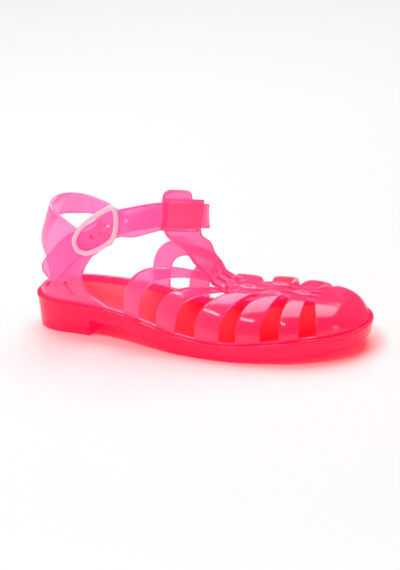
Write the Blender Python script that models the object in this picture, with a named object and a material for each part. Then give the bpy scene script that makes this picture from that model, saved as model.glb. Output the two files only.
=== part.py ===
"""Child's jelly sandal for the right foot, with its ankle strap buckled.

Metres, Z up, standing on Z = 0. The toe points along +X and the inner side of the foot along +Y.
Lengths are worked in millimetres and turned to metres where a mesh is made.
"""
import bpy
import bmesh
import numpy as np
from mathutils.geometry import delaunay_2d_cdt

# Main sizes in millimetres
SOLE_LENGTH = 172.0
BALL_WIDTH = 68.0
HEEL_RIM_HEIGHT = 17.2
INSTEP_HEIGHT = 28.0
ANKLE_HEIGHT = 62.0
WALL = 2.0
CLEARANCE = 0.3

# Outsole
LIP_WIDTH = 1.7
LIP_DEPTH = 4.8
LIP_STEP = 0.5
LIP_BAND = 1.8
LIP_ROUND = 0.5
EDGE_ROUND = 1.0
HEEL_TAPER = 1.4
BORDER_WIDTH = 5.2
RECESS_DEPTH = 1.6
RECESS_SLOPE = 0.8
RECESS_START = 0.225
RECESS_RUN = 0.02
HEEL_BLOCK_LENGTH = 33.0
STUD_DIAMETER = 0.157 * BALL_WIDTH
STUD_TOP_DIAMETER = 0.41 * STUD_DIAMETER
STUD_DOME_DIAMETER = 0.80 * STUD_DIAMETER
STUD_DOME_HEIGHT = 0.5
STUD_SIDE_HEIGHT = 0.7
STUD_PROUD = 0.4
STUD_PITCH = 0.075 * SOLE_LENGTH
STUD_FRONT_GAP = 0.09 * SOLE_LENGTH

# Insole
INSOLE_THICKNESS = 2.2
INSOLE_ROUND = 0.5

# Vamp
RIM_SHOW = 0.8
SPINE_WIDTH = 19.0
SPINE_TOE_WIDTH = 15.5
STRAND_GAP = 1.6
STRAND_EDGE = 0.8
WEAVE_RAISE = 0.6
STRIP_CAMBER = 0.3
SIDE_CELLS = 7
SPINE_CELLS = 11
ROW_CELLS = 2 * SIDE_CELLS + SPINE_CELLS
SECTION_POWER = 2.7

# Slope of the instep at the strip nearest the heel, and the stations between which it fades out
INSTEP_SLOPE = 0.42
SLOPE_STATION = 0.31
LEVEL_STATION = 0.85

# T-bar and the bridge that the ankle strap runs through
TBAR_WIDTH = 20.0
TBAR_SAG = 2.4
TBAR_DROP = (0.3, 0.0, 1.0)
BRIDGE_WIDTH = 22.0
BRIDGE_WALL = 1.8
TAB_RISE = 4.0
TAB_LAP = 3.0
TAB_SHIFT = -1.5
TAB_ROUND = 4.0
EDGE_STEP = 0.2

# Heel quarters
QUARTER_LENGTH = 0.3023 * SOLE_LENGTH
QUARTER_CREST = 1.076
SKIN_PITCH = 4.6
SKIN_MARGIN = 0.45
LEAN_FADE_LENGTH = 0.198 * SOLE_LENGTH

# Ankle strap
STRAP_WIDTH = 12.0
STRAP_STEPS = 3
STRAP_HOLE = 2.2
HOLE_PITCH = 5.6
HOLE_NUMBERS = (-2, -1, 0, 1, 2)
STRAP_CELLS = 4
TAIL_LIFT = 0.35

# Buckle
WIRE = 2.3
HINGE_BAR = 1.7
HINGE_SHOULDER = 1.0
KNUCKLE = 4.0
KNUCKLE_WIDTH = 9.0
PRONG = 1.1
PRONG_REACH = 5.4
PRONG_EYE_WIDTH = 2.0
PRONG_EYE_WALL = 0.6
FRAME_LENGTH = 31.0
FRAME_HEIGHT = 14.6
BUCKLE_TILT = 0.58

# Sole sections from heel to toe, as shares: station of the length, middle and half width of the ball width
SOLE_PLAN = (
    # station, middle, half
    (0.00, -0.004, 0.305),
    (0.12, 0.023, 0.310),
    (0.25, 0.007, 0.335),
    (0.40, -0.057, 0.374),
    (0.52, -0.069, 0.419),
    (0.62, -0.037, 0.475),
    (0.70, -0.001, 0.501),
    (0.80, 0.029, 0.488),
    (0.90, 0.048, 0.457),
    (1.00, 0.053, 0.426),
)
# Shares of the length over which the outline rounds off at the heel and the toe
HEEL_ROUND = 0.135
TOE_ROUND = 0.22
ROUND_POWER = 2.2

# Side view of the sole, as shares: station of the length, rim and underside of the heel's rim height
SOLE_SIDE = (
    # station, rim, underside
    (0.00, 1.000, 0.442),
    (0.20, 0.948, 0.442),
    (0.35, 0.837, 0.314),
    (0.49, 0.570, 0.000),
    (0.63, 0.488, 0.000),
    (0.74, 0.576, 0.052),
    (0.87, 0.715, 0.198),
    (1.00, 0.773, 0.326),
)

# Studs of each row from the toe, and how far the row's middle lies from the sole's, in shares of the ball width
STUD_ROWS = (
    # count, spread
    (2, 0.24),
    (4, 0.60),
    (4, 0.64),
    (5, 0.72),
    (4, 0.60),
    (4, 0.50),
    (3, 0.36),
)

# Strips of the vamp from the instep to the toe: where each edge leaves the sole and where it meets the spine,
# as shares of the length, and the height of the last's ridge there, as a share of the instep height
VAMP_STRIPS = (
    # back foot, front foot, back top, front top, back ridge, front ridge
    (0.312, 0.366, 0.556, 0.571, 1.36, 1.18),
    (0.423, 0.482, 0.595, 0.611, 1.08, 1.00),
    (0.546, 0.621, 0.629, 0.678, 1.02, 0.97),
    (0.670, 0.740, 0.701, 0.756, 0.98, 0.97),
    (0.792, 0.847, 0.781, 0.829, 0.94, 0.90),
)

# Toe cap sections: where each leaves the sole, its ridge along the foot, and the ridge's height
CAP_ROWS = (
    # foot, ridge, height
    (0.893, 0.851, 0.890),
    (0.915, 0.884, 0.872),
    (0.935, 0.912, 0.835),
    (0.952, 0.936, 0.775),
    (0.965, 0.955, 0.690),
    (0.975, 0.969, 0.590),
)

# Lines across each strip of the vamp, as shares of its width, with True on its raised middle
STRIP_LINES = (
    # share, raised
    (0.0, False),
    (0.14, True),
    (0.86, True),
    (1.0, False),
)

# T-bar centre line up the instep, in shares of length, ankle height and ball width, and how far its
# direction across has turned into the plate's
TBAR_ROWS = (
    # along, height, middle, turn
    (0.532, 0.668, -0.040, 0.22),
    (0.507, 0.758, -0.028, 0.58),
)

# Plate of the T-bar over the ankle strap: its middle in shares of length, ball width and ankle height,
# its direction across, and how far its upward direction leans along the foot
TOP_PLACE = (0.468, -0.018, 0.978)
TOP_ACROSS = (0.50, 0.84, -0.25)
TOP_LEAN = -0.13

# Heel pattern, flattened: distance along the base line from the back, as a share of the quarter's length,
# and height, from 0 at the heel's rim to 1 at the ankle
OUTER_FRONT = (
    # along, height
    (0.905, 0.038),
    (0.800, 0.107),
    (0.742, 0.204),
    (0.733, 0.308),
    (0.757, 0.391),
    (0.851, 0.547),
)
OUTER_TAB = (
    # along, height
    (0.948, 0.633),
    (1.045, 0.716),
    (1.060, 0.820),
    (0.965, 0.979),
    (0.860, 0.896),
)
OUTER_TOP = (
    # along, height
    (0.750, 0.834),
    (0.650, 0.869),
    (0.550, 0.924),
    (0.400, 0.993),
    (0.200, 1.055),
)
OUTER_SLIT = (
    # along, height
    (0.646, 0.040),
    (0.688, 0.033),
    (0.612, 0.139),
    (0.548, 0.231),
    (0.524, 0.225),
    (0.580, 0.125),
)
INNER_BASE = 0.470
INNER_FRONT = (
    # along, height
    (0.460, 0.094),
    (0.560, 0.239),
    (0.690, 0.356),
    (0.800, 0.449),
    (0.880, 0.477),
)
STRAP_ROOT = (
    # along, height
    (0.975, 0.477),
    (0.945, 0.726),
)
INNER_TOP = (
    # along, height
    (0.860, 0.776),
    (0.728, 0.860),
    (0.542, 0.935),
    (0.329, 1.011),
    (0.133, 1.055),
)
# Opening in the back of the heel, round from the outer side's foot over the top to the inner side's foot
BACK_OPENING = (
    # along, height
    (-0.110, 0.062),
    (-0.230, 0.080),
    (-0.340, 0.121),
    (-0.385, 0.211),
    (-0.370, 0.350),
    (-0.310, 0.488),
    (-0.230, 0.585),
    (-0.110, 0.661),
    (0.000, 0.723),
    (0.121, 0.792),
    (0.385, 0.759),
    (0.600, 0.719),
    (0.680, 0.675),
    (0.600, 0.585),
    (0.480, 0.460),
    (0.370, 0.308),
    (0.310, 0.170),
    (0.220, 0.087),
    (0.110, 0.062),
)

# Heel wall heights, from 0 at the rim to 1 at the ankle, with how far the back leans forward there as a share
# of the ankle height, and how much wider the wall gets
HEEL_LEAN = (
    # height, forward lean, width factor
    (-0.010, 0.000, 1.00),
    (0.100, 0.012, 1.02),
    (0.377, 0.036, 1.05),
    (0.640, 0.040, 1.08),
    (0.862, 0.085, 1.07),
    (1.083, 0.145, 1.02),
)

# Free run of the ankle strap on the inner side, in shares of length, ball width and ankle height
INNER_ROUTE = (
    # along, middle, height
    (0.330, 0.345, 0.800),
    (0.430, 0.345, 0.866),
    (0.497, 0.262, 0.882),
)

# Where the ankle strap runs straight through the bridge, as shares of the bridge's half width
BRIDGE_RUN = (1.1, 0.45, -0.45, -1.1)

# Ankle strap under the buckle, from the hinge bar: shares of the frame's length heelward, of the strap's width up
STRAP_UNDER_FRAME = (
    # heelward, up
    (-0.50, -0.16),
    (-0.25, 0.00),
    (0.00, 0.00),
    (0.28, 0.00),
)

# Free end of the ankle strap over the outer quarter, on the flattened heel pattern
TAIL_ROUTE = (
    # along, height
    (0.690, 0.682),
    (0.535, 0.516),
    (0.425, 0.370),
)

# Rounded tip of the ankle strap, as shares of its width: reach past its last section, and width there
STRAP_TIP = (
    # reach, width
    (0.22, 0.86),
    (0.37, 0.62),
    (0.43, 0.34),
)

# Hinge bar's place on the flattened heel pattern, outer side
HINGE_PLACE = (-0.987, 0.888)

# Centre line of the buckle's frame from its bar's upper to its lower end, as shares of its length and height
FRAME_SHAPE = (
    # heelward, upward
    (-0.462, 0.432),
    (-0.169, 0.507),
    (0.115, 0.479),
    (0.365, 0.356),
    (0.500, 0.137),
    (0.519, -0.123),
    (0.431, -0.342),
    (0.192, -0.473),
    (-0.019, -0.486),
    (-0.177, -0.438),
)

# Prong from its eye to its tip, as shares of its reach toward the toe and of the wall's thickness outward
PRONG_SHAPE = (
    # toeward, out
    (0.27, -1.00),
    (0.75, -0.65),
    (0.96, 0.10),
    (1.02, 0.95),
    (1.16, 1.60),
    (1.42, 1.75),
)

TINT = (1.0, 0.105, 0.27, 1.0)
SOLE_TINT = (1.0, 0.022, 0.075, 1.0)
FOOTBED_TINT = (0.9, 0.035, 0.075, 1.0)
BUCKLE_TINT = (0.95, 0.72, 0.78, 1.0)


def smooth_line(xs, ys, x):
    """Monotone cubic through the points (xs, ys), read at x."""
    xs, ys, x = np.asarray(xs, float), np.asarray(ys, float), np.asarray(x, float)
    step = np.diff(xs)
    slope = np.diff(ys) / step
    tangent = np.zeros(len(xs))
    same = slope[:-1] * slope[1:] > 0
    w1 = 2 * step[1:] + step[:-1]
    w2 = step[1:] + 2 * step[:-1]
    tangent[1:-1][same] = (w1 + w2)[same] / (w1[same] / slope[:-1][same] + w2[same] / slope[1:][same])
    tangent[0], tangent[-1] = slope[0], slope[-1]
    i = np.clip(np.searchsorted(xs, x) - 1, 0, len(step) - 1)
    t = np.clip((x - xs[i]) / step[i], 0, 1)
    return ((2 * t**3 - 3 * t**2 + 1) * ys[i] + (t**3 - 2 * t**2 + t) * step[i] * tangent[i]
            + (-2 * t**3 + 3 * t**2) * ys[i + 1] + (t**3 - t**2) * step[i] * tangent[i + 1])


def column(table, index):
    return [row[index] for row in table]


def unit(v):
    return v / np.linalg.norm(v)


# Sole form

def end_round(s):
    """Share of the full half width left at station s, falling to zero at heel and toe."""
    heel = np.clip(1 - s / HEEL_ROUND, 0, 1)
    toe = np.clip((s - (1 - TOE_ROUND)) / TOE_ROUND, 0, 1)
    return (1 - np.maximum(heel, toe) ** ROUND_POWER) ** (1 / ROUND_POWER)


def middle(s):
    return BALL_WIDTH * float(smooth_line(column(SOLE_PLAN, 0), column(SOLE_PLAN, 1), s))


def half_width(s):
    return BALL_WIDTH * float(smooth_line(column(SOLE_PLAN, 0), column(SOLE_PLAN, 2), s)) * float(end_round(s))


def rim_height(s):
    return HEEL_RIM_HEIGHT * float(smooth_line(column(SOLE_SIDE, 0), column(SOLE_SIDE, 1), s))


def underside(s):
    if s <= HEEL_BLOCK_LENGTH / SOLE_LENGTH:
        return 0.0
    return HEEL_RIM_HEIGHT * float(smooth_line(column(SOLE_SIDE, 0), column(SOLE_SIDE, 2), s))


def outline(s, side, inset=0.0):
    """Point of the sole's plan outline at station s on the inner (side 1) or outer (side -1) edge, moved inward."""
    small = 1e-4
    before, after = max(s - small, 0.0), min(s + small, 1.0)
    a = np.array([before * SOLE_LENGTH, middle(before) + side * half_width(before)])
    b = np.array([after * SOLE_LENGTH, middle(after) + side * half_width(after)])
    along = unit(b - a)
    inward = side * np.array([along[1], -along[0]])
    return np.array([s * SOLE_LENGTH, middle(s) + side * half_width(s)]) + inward * inset


def sole_stations():
    heel = [HEEL_ROUND * (1 - np.cos(a)) for a in np.linspace(0, np.pi / 2, 7)[:-1]]
    breast = HEEL_BLOCK_LENGTH / SOLE_LENGTH
    body = [HEEL_ROUND, breast, breast + 0.007, 0.235, 0.25]
    body += list(np.linspace(0.29, 1 - TOE_ROUND, 14))
    toe = [1 - TOE_ROUND + TOE_ROUND * np.sin(a) for a in np.linspace(0, np.pi / 2, 9)[1:]]
    return heel + body + toe


def ring(stations, inset, height):
    """Closed ring of points round the outline: heel tip, inner side, toe tip, outer side."""
    inner = [np.append(outline(s, 1, inset), height(s)) for s in stations]
    outer = [np.append(outline(s, -1, inset), height(s)) for s in stations[1:-1]]
    return inner + outer[::-1]


def span_faces(bm, points, count, flip):
    """Fills a ring made by ring() with strips from its inner to its outer side."""
    total = len(points)
    for i in range(count - 1):
        left, right = (total - i) % total, (total - i - 1) % total
        corners = [points[i], points[i + 1], points[right], points[left]]
        corners = list(dict.fromkeys(corners))
        bm.faces.new(corners[::-1] if flip else corners)


def stack_rings(bm, rings):
    """Skins a list of rings and returns their vertices, ring by ring."""
    made = [[bm.verts.new(p / 1000) for p in points] for points in rings]
    total = len(rings[0])
    for low, high in zip(made, made[1:]):
        for i in range(total):
            j = (i + 1) % total
            bm.faces.new([low[j], low[i], high[i], high[j]])
    return made


def new_object(name, bm, tint, roughness, metallic=0.0, smooth=True):
    mesh = bpy.data.meshes.new(name)
    bm.to_mesh(mesh)
    bm.free()
    if smooth:
        mesh.shade_smooth()
        mesh.set_sharp_from_angle(angle=0.7)
    material = bpy.data.materials.new(name)
    material.use_nodes = True
    shader = material.node_tree.nodes["Principled BSDF"]
    shader.inputs["Base Color"].default_value = tint
    shader.inputs["Roughness"].default_value = roughness
    shader.inputs["Metallic"].default_value = metallic
    mesh.materials.append(material)
    made = bpy.data.objects.new(name, mesh)
    bpy.context.collection.objects.link(made)
    return made


def boolean(target, other, operation):
    """Adds a Boolean modifier and keeps the other body as a guide that isn't part of the model."""
    modifier = target.modifiers.new(other.name, "BOOLEAN")
    modifier.operation = operation
    modifier.solver = "EXACT"
    modifier.object = other
    other.hide_render = True
    other.display_type = "WIRE"


def sole_body():
    stations = sole_stations()
    breast = HEEL_BLOCK_LENGTH / SOLE_LENGTH

    def taper(s):
        return HEEL_TAPER if s <= breast else 0.0

    def recess(s):
        return RECESS_DEPTH * float(np.clip((s - RECESS_START) / RECESS_RUN, 0, 1))

    def border(s):
        return underside(s) + (STUD_PROUD if s > breast else 0.0)

    levels = (
        # inset of the ring, its height
        (BORDER_WIDTH + RECESS_SLOPE, lambda s: border(s) + recess(s)),
        (BORDER_WIDTH, border),
        (LIP_STEP + HEEL_TAPER, border),
        (LIP_STEP + LIP_ROUND, lambda s: border(s) + EDGE_ROUND),
        (LIP_STEP, lambda s: rim_height(s) - LIP_BAND - LIP_STEP),
        (0.0, lambda s: rim_height(s) - LIP_BAND),
        (0.0, lambda s: rim_height(s) - LIP_ROUND),
        (LIP_ROUND, rim_height),
        (LIP_WIDTH, rim_height),
        (LIP_WIDTH, lambda s: rim_height(s) - LIP_DEPTH),
    )
    walls_start, walls_end = 1, 4
    rings = []
    for number, (inset, height) in enumerate(levels):
        points = []
        for side, group in ((1, stations), (-1, stations[-2:0:-1])):
            for s in group:
                extra = taper(s) * (1.0 - min(number, walls_end) / walls_end if number > walls_start else 1.0)
                points.append(np.append(outline(s, side, inset + extra), height(s)))
        rings.append(points)
    bm = bmesh.new()
    made = stack_rings(bm, rings)
    span_faces(bm, made[0], len(stations), flip=True)
    span_faces(bm, made[-1], len(stations), flip=False)
    bmesh.ops.recalc_face_normals(bm, faces=bm.faces)
    return new_object("outsole", bm, SOLE_TINT, 0.22)


def stud_centres():
    """Yields the station and y of every stud, row by row from the toe."""
    for number, (count, spread) in enumerate(STUD_ROWS):
        s = 1 - (STUD_FRONT_GAP + number * STUD_PITCH) / SOLE_LENGTH
        for place in np.linspace(-0.5, 0.5, count):
            yield s, middle(s) + place * spread * BALL_WIDTH


def studs():
    """Domed studs with a small flat top, standing in the recess of the underside."""
    profile = (
        # radius, height over the stud's top plane
        (STUD_DIAMETER / 2, STUD_PROUD + RECESS_DEPTH + STUD_SIDE_HEIGHT),
        (STUD_DIAMETER / 2, STUD_PROUD + RECESS_DEPTH - CLEARANCE),
        (STUD_DOME_DIAMETER / 2, STUD_DOME_HEIGHT),
        (STUD_TOP_DIAMETER / 2, 0.0),
    )
    sides = 12
    bm = bmesh.new()
    for s, y in stud_centres():
        loops = []
        for radius, height in profile:
            loop = []
            for k in range(sides):
                angle = 2 * np.pi * k / sides
                x = s * SOLE_LENGTH + radius * np.cos(angle)
                point = (x, y + radius * np.sin(angle), underside(s) + height)
                loop.append(bm.verts.new(np.array(point) / 1000))
            loops.append(loop)
        for upper, lower in zip(loops, loops[1:]):
            for k in range(sides):
                j = (k + 1) % sides
                bm.faces.new([upper[k], lower[k], lower[j], upper[j]])
        bm.faces.new(loops[0])
        bm.faces.new(loops[-1][::-1])
    bmesh.ops.recalc_face_normals(bm, faces=bm.faces)
    return new_object("stud_guide", bm, SOLE_TINT, 0.2)


def insole():
    edge = LIP_WIDTH + CLEARANCE + WALL + CLEARANCE
    base = -LIP_DEPTH + CLEARANCE
    levels = (
        # inset of the ring, height over the rim
        (edge, base),
        (edge, base + INSOLE_THICKNESS - INSOLE_ROUND),
        (edge + INSOLE_ROUND, base + INSOLE_THICKNESS),
    )
    stations = sole_stations()
    rings = []
    for inset, over in levels:
        rings.append([p + np.array([0, 0, over]) for p in ring(stations, inset, rim_height)])
    bm = bmesh.new()
    made = stack_rings(bm, rings)
    span_faces(bm, made[0], len(stations), flip=True)
    span_faces(bm, made[-1], len(stations), flip=False)
    bmesh.ops.recalc_face_normals(bm, faces=bm.faces)
    return new_object("insole", bm, FOOTBED_TINT, 0.6)


# Upper: one sheet, drawn as its outer skin and then given its wall

BASE_INSET = LIP_WIDTH + CLEARANCE


def base_point(s, side):
    """Where the upper's wall stands up out of the sole at station s."""
    return np.append(outline(s, side, BASE_INSET), rim_height(s) + RIM_SHOW)


class Sheet:
    """Open surface built from faces given by their corner positions; equal positions share a vertex."""

    def __init__(self):
        self.points = []
        self.faces = []
        self.lookup = {}

    def index(self, point):
        key = tuple(np.round(point, 4))
        if key not in self.lookup:
            self.lookup[key] = len(self.points)
            self.points.append(np.array(point, float))
        return self.lookup[key]

    def face(self, *corners):
        numbers = list(dict.fromkeys(self.index(c) for c in corners))
        if len(numbers) > 2:
            self.faces.append(numbers)

    def grid(self, rows, skip=()):
        for i, (low, high) in enumerate(zip(rows, rows[1:])):
            for j in range(len(low) - 1):
                if (i, j) not in skip:
                    self.face(low[j], low[j + 1], high[j + 1], high[j])


def spine_width(top):
    """Width of the woven spine at a station, narrowing from the instep to the toe cap."""
    share = (top - VAMP_STRIPS[0][2]) / (CAP_ROWS[0][1] - VAMP_STRIPS[0][2])
    return SPINE_WIDTH + (SPINE_TOE_WIDTH - SPINE_WIDTH) * float(np.clip(share, 0, 1))


def spine_places(width):
    """Places across the spine, from the outer to the inner edge, with True where a strand's middle is."""
    strand = (width - 2 * STRAND_GAP) / 3
    places = []
    for k in (-1, 0, 1):
        centre = k * (strand + STRAND_GAP)
        for offset, mid in ((-strand / 2, False), (-strand / 2 + STRAND_EDGE, True),
                            (strand / 2 - STRAND_EDGE, True), (strand / 2, False)):
            places.append((centre + offset, mid))
    return places


def section(foot, top, ridge, strand_lifts=(0.0, 0.0, 0.0), camber=0.0):
    """One row of the vamp's skin, from the outer foot over the spine to the inner foot.

    foot and top are the stations where the row leaves the sole and where it meets the spine; ridge is its
    height in millimetres. Across the foot the row is a superellipse. It moves forward on its way inward, and its crest comes down
    the instep's slope as it does.
    """
    ends = {side: base_point(foot, side) for side in (-1, 1)}
    centre = middle(top)
    half = spine_width(top) / 2
    slope = INSTEP_SLOPE * max(0.0, (LEVEL_STATION - foot) / (LEVEL_STATION - SLOPE_STATION))

    def place(across, side):
        """Point at a fraction across of the half width, where 1 is the foot of the row."""
        end = ends[side]
        reach = abs(end[1] - centre)
        height = (1 - across ** SECTION_POWER) ** (1 / SECTION_POWER)
        travel = np.clip((1 - across) / (1 - half / reach), 0, 1)
        x = end[0] + (top * SOLE_LENGTH - end[0]) * travel
        crest = ridge + slope * (top * SOLE_LENGTH - x)
        return np.array([x, centre + side * reach * across, end[2] + (crest - end[2]) * height])

    sides = []
    for side in (-1, 1):
        edge = half / abs(ends[side][1] - centre)
        part = []
        for number, angle in enumerate(np.linspace(np.pi / 2, np.arcsin(edge), SIDE_CELLS + 1)[:-1]):
            outward = np.array([0, side * np.sin(angle), np.cos(angle)])
            part.append(place(np.sin(angle), side) + outward * (camber if number > 0 else 0.0))
        sides.append(part)
    spine = []
    for number, (offset, mid) in enumerate(spine_places(2 * half)):
        side = -1 if offset < 0 else 1
        point = place(abs(offset) / abs(ends[side][1] - centre), side)
        point[2] += strand_lifts[number // 4] if mid else 0.0
        spine.append(point)
    return sides[0] + spine + sides[1][::-1]


def front_points():
    """Stations and sides of the base line round the toe's front, from the outer to the inner side."""
    start = CAP_ROWS[-1][0]
    return [(1 - (1 - start) * abs(a) ** 2.0, -1 if a < 0 else 1) for a in np.linspace(-1, 1, ROW_CELLS + 1)]


def vamp(sheet):
    """Strips, spine and toe cap as one grid of rows with the gaps left out, and the T-bar on the spine's end."""
    rows = []
    gaps = set()
    spine_cells = range(SIDE_CELLS, SIDE_CELLS + SPINE_CELLS)
    slots = (SIDE_CELLS + 3, SIDE_CELLS + 7)
    for number, (back, front, back_top, front_top, back_ridge, front_ridge) in enumerate(VAMP_STRIPS):
        for share, raised in STRIP_LINES:
            lifts = [WEAVE_RAISE * ((k + number) % 2) if raised else 0.0 for k in range(3)]
            ridge = INSTEP_HEIGHT * (back_ridge + (front_ridge - back_ridge) * share)
            rows.append(section(back + (front - back) * share, back_top + (front_top - back_top) * share,
                                ridge, lifts, STRIP_CAMBER if raised else 0.0))
        gaps |= {(len(rows) - 1, cell) for cell in range(ROW_CELLS) if cell not in spine_cells or cell in slots}
    for foot, ridge_station, height in CAP_ROWS:
        rows.append(section(foot, ridge_station, INSTEP_HEIGHT * height))
    rows.append([base_point(s, side) for s, side in front_points()])
    sheet.grid(rows, gaps)
    tbar(sheet, rows[0][SIDE_CELLS:SIDE_CELLS + SPINE_CELLS + 1])


def turn_frame():
    """Frame of the T-bar's flat top: its directions across, up and outward."""
    across = unit(np.array(TOP_ACROSS))
    up = np.array([TOP_LEAN, 0.0, 1.0])
    up = unit(up - across * np.dot(up, across))
    return across, up, np.cross(across, up)


def tbar_top():
    """Point on the outer skin of the T-bar's top plate, at its middle."""
    along, mid, height = TOP_PLACE
    return np.array([along * SOLE_LENGTH, mid * BALL_WIDTH, height * ANKLE_HEIGHT])


def plate_reach():
    """Half height of the plate that covers the ankle strap."""
    return STRAP_WIDTH / 2 + CLEARANCE + BRIDGE_WALL


def tbar(sheet, first):
    """Strap rising from the spine and turning toward the outer side, up to the plate over the ankle strap."""
    shares = [offset / SPINE_WIDTH for offset, mid in spine_places(SPINE_WIDTH)]
    across_top, up, out = turn_frame()
    rows = [first]
    for along, height, mid, turn in TBAR_ROWS:
        across = unit(np.array([0.0, 1.0, 0.0]) * (1 - turn) + across_top * turn)
        centre = np.array([along * SOLE_LENGTH, mid * BALL_WIDTH, height * ANKLE_HEIGHT])
        sag = TBAR_SAG * (1 - turn)
        rows.append([centre + across * TBAR_WIDTH * p - np.array(TBAR_DROP) * sag * (2 * p) ** 2 for p in shares])
    for rise in (-1.0, 0.0, 1.0):
        rows.append([tbar_top() + up * rise * plate_reach() + across_top * BRIDGE_WIDTH * p for p in shares])
    sheet.grid(rows[::-1])


def prism(name, outline_points, origin, first, second, third, low, high):
    """Solid with the given outline in the first and second directions, from low to high along the third."""
    bm = bmesh.new()
    loops = []
    for depth in (low, high):
        loop = [bm.verts.new((origin + first * a + second * b + third * depth) / 1000) for a, b in outline_points]
        loops.append(loop)
    count = len(outline_points)
    for k in range(count):
        j = (k + 1) % count
        bm.faces.new([loops[0][k], loops[0][j], loops[1][j], loops[1][k]])
    bm.faces.new(loops[0][::-1])
    bm.faces.new(loops[1])
    bmesh.ops.recalc_face_normals(bm, faces=bm.faces)
    return new_object(name, bm, TINT, 0.25)


def slot_depth():
    """Room for the ankle strap between the plate and the tongue behind it."""
    return WALL + 2 * CLEARANCE


def bridge_guide():
    """Channel behind the plate: its lower and upper walls and the tongue that closes it."""
    across, up, out = turn_frame()
    reach = plate_reach()
    slot = STRAP_WIDTH / 2 + CLEARANCE
    inner = -WALL - slot_depth()
    bite = -WALL / 2
    edge = reach - EDGE_STEP
    channel = [(bite, -edge), (bite, -slot), (inner, -slot), (inner, slot), (bite, slot),
               (bite, edge), (inner - WALL, edge), (inner - WALL, -edge)]
    half = BRIDGE_WIDTH / 2 - 3 * EDGE_STEP
    return prism("bridge_guide", channel, tbar_top(), out, up, across, -half, half)


def tab_guide():
    """Rounded end of the tongue, standing up behind the ankle strap."""
    across, up, out = turn_frame()
    inner = -WALL - slot_depth()
    half = TBAR_WIDTH / 2 - 5 * EDGE_STEP
    foot = plate_reach() - TAB_LAP
    head = plate_reach() + TAB_RISE
    points = [(-half, foot), (half, foot)]
    for centre, start in ((half - TAB_ROUND, 0.0), (TAB_ROUND - half, np.pi / 2)):
        for angle in np.linspace(start, start + np.pi / 2, 5):
            points.append((centre + TAB_ROUND * np.cos(angle), head + TAB_ROUND * (np.sin(angle) - 1)))
    return prism("tab_guide", points, tbar_top() + across * TAB_SHIFT, across, up, out,
                 inner - WALL + EDGE_STEP, inner - EDGE_STEP)


# Heel quarters

def base_length_table():
    """Arc length of the base line from the heel's back on each side, with the station it belongs to."""
    rounded = HEEL_ROUND * (1 - np.cos(np.linspace(0, np.pi / 2, 40)))
    stations = np.concatenate([rounded, np.linspace(HEEL_ROUND, 0.45, 60)[1:]])
    tables = {}
    for side in (-1, 1):
        points = np.array([base_point(s, side)[:2] for s in stations])
        lengths = np.concatenate([[0], np.cumsum(np.linalg.norm(np.diff(points, axis=0), axis=1))])
        tables[side] = (lengths, stations)
    return tables


GIRTH_TABLE = base_length_table()


def station_at(t):
    """Station and side of the place on the base line at the signed length t from the heel's back."""
    side = 1 if t >= 0 else -1
    lengths, stations = GIRTH_TABLE[side]
    return float(np.interp(abs(t), lengths, stations)), side


def pattern_height(share):
    """Height over the ground of a place on the heel pattern, from 0 at the rim to 1 at the ankle."""
    return HEEL_RIM_HEIGHT + share * (ANKLE_HEIGHT - HEEL_RIM_HEIGHT)


def heel_wall(t, z):
    """Outer skin of the heel cup: t runs along the base line from the back, z is the height."""
    s, side = station_at(t)
    base = base_point(s, side)
    share = (z - HEEL_RIM_HEIGHT) / (ANKLE_HEIGHT - HEEL_RIM_HEIGHT)
    lean = ANKLE_HEIGHT * float(smooth_line(column(HEEL_LEAN, 0), column(HEEL_LEAN, 1), share))
    widen = float(smooth_line(column(HEEL_LEAN, 0), column(HEEL_LEAN, 2), share))
    fade = 1 / (1 + (t / LEAN_FADE_LENGTH) ** 2)
    return np.array([base[0] + lean * fade, base[1] * widen, z])


def wall_normal(t, z):
    step = 0.5
    along = heel_wall(t + step, z) - heel_wall(t - step, z)
    rise = heel_wall(t, z + step) - heel_wall(t, z - step)
    return unit(np.cross(rise, along))


def heel_pattern(table):
    return [np.array([along * QUARTER_LENGTH, pattern_height(height)]) for along, height in table]


def smooth_curve(points, steps, closed=False, places=None):
    """Smooth curve through the points, with the given number of steps in each span.

    Each point's tangent weighs its two spans by their lengths, so uneven spacing doesn't make it overshoot.
    The first values of a point, as many as places says, are its position; any others are carried along.
    """
    points = [np.array(p, float) for p in points]
    count = len(points)
    spans = count if closed else count - 1
    lengths = [np.linalg.norm((points[(i + 1) % count] - points[i])[:places]) for i in range(spans)]
    slopes = [(points[(i + 1) % count] - points[i]) / lengths[i] for i in range(spans)]
    tangents = []
    for i in range(count):
        if closed or 0 < i < count - 1:
            before, after = lengths[i - 1], lengths[i]
            tangents.append((slopes[i - 1] * after + slopes[i] * before) / (before + after))
        else:
            tangents.append(slopes[min(i, spans - 1)])
    result = []
    for i in range(spans):
        low, high = points[i], points[(i + 1) % count]
        for k in range(steps):
            t = k / steps
            result.append((2 * t**3 - 3 * t**2 + 1) * low + (t**3 - 2 * t**2 + t) * lengths[i] * tangents[i]
                          + (3 * t**2 - 2 * t**3) * high + (t**3 - t**2) * lengths[i] * tangents[(i + 1) % count])
    if not closed:
        result.append(points[-1])
    return result


def inside(point, polygon):
    x, y = point
    hit = False
    for (x1, y1), (x2, y2) in zip(polygon, polygon[1:] + polygon[:1]):
        if (y1 > y) != (y2 > y) and x < (x2 - x1) * (y - y1) / (y2 - y1) + x1:
            hit = not hit
    return hit


def distance_to(point, polygon):
    best = 1e9
    for a, b in zip(polygon, polygon[1:] + polygon[:1]):
        edge = b - a
        share = np.clip(np.dot(point - a, edge) / max(np.dot(edge, edge), 1e-9), 0, 1)
        best = min(best, np.linalg.norm(point - a - edge * share))
    return best


def mirrored(points):
    return [np.array([-p[0], p[1]]) for p in points]


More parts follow.
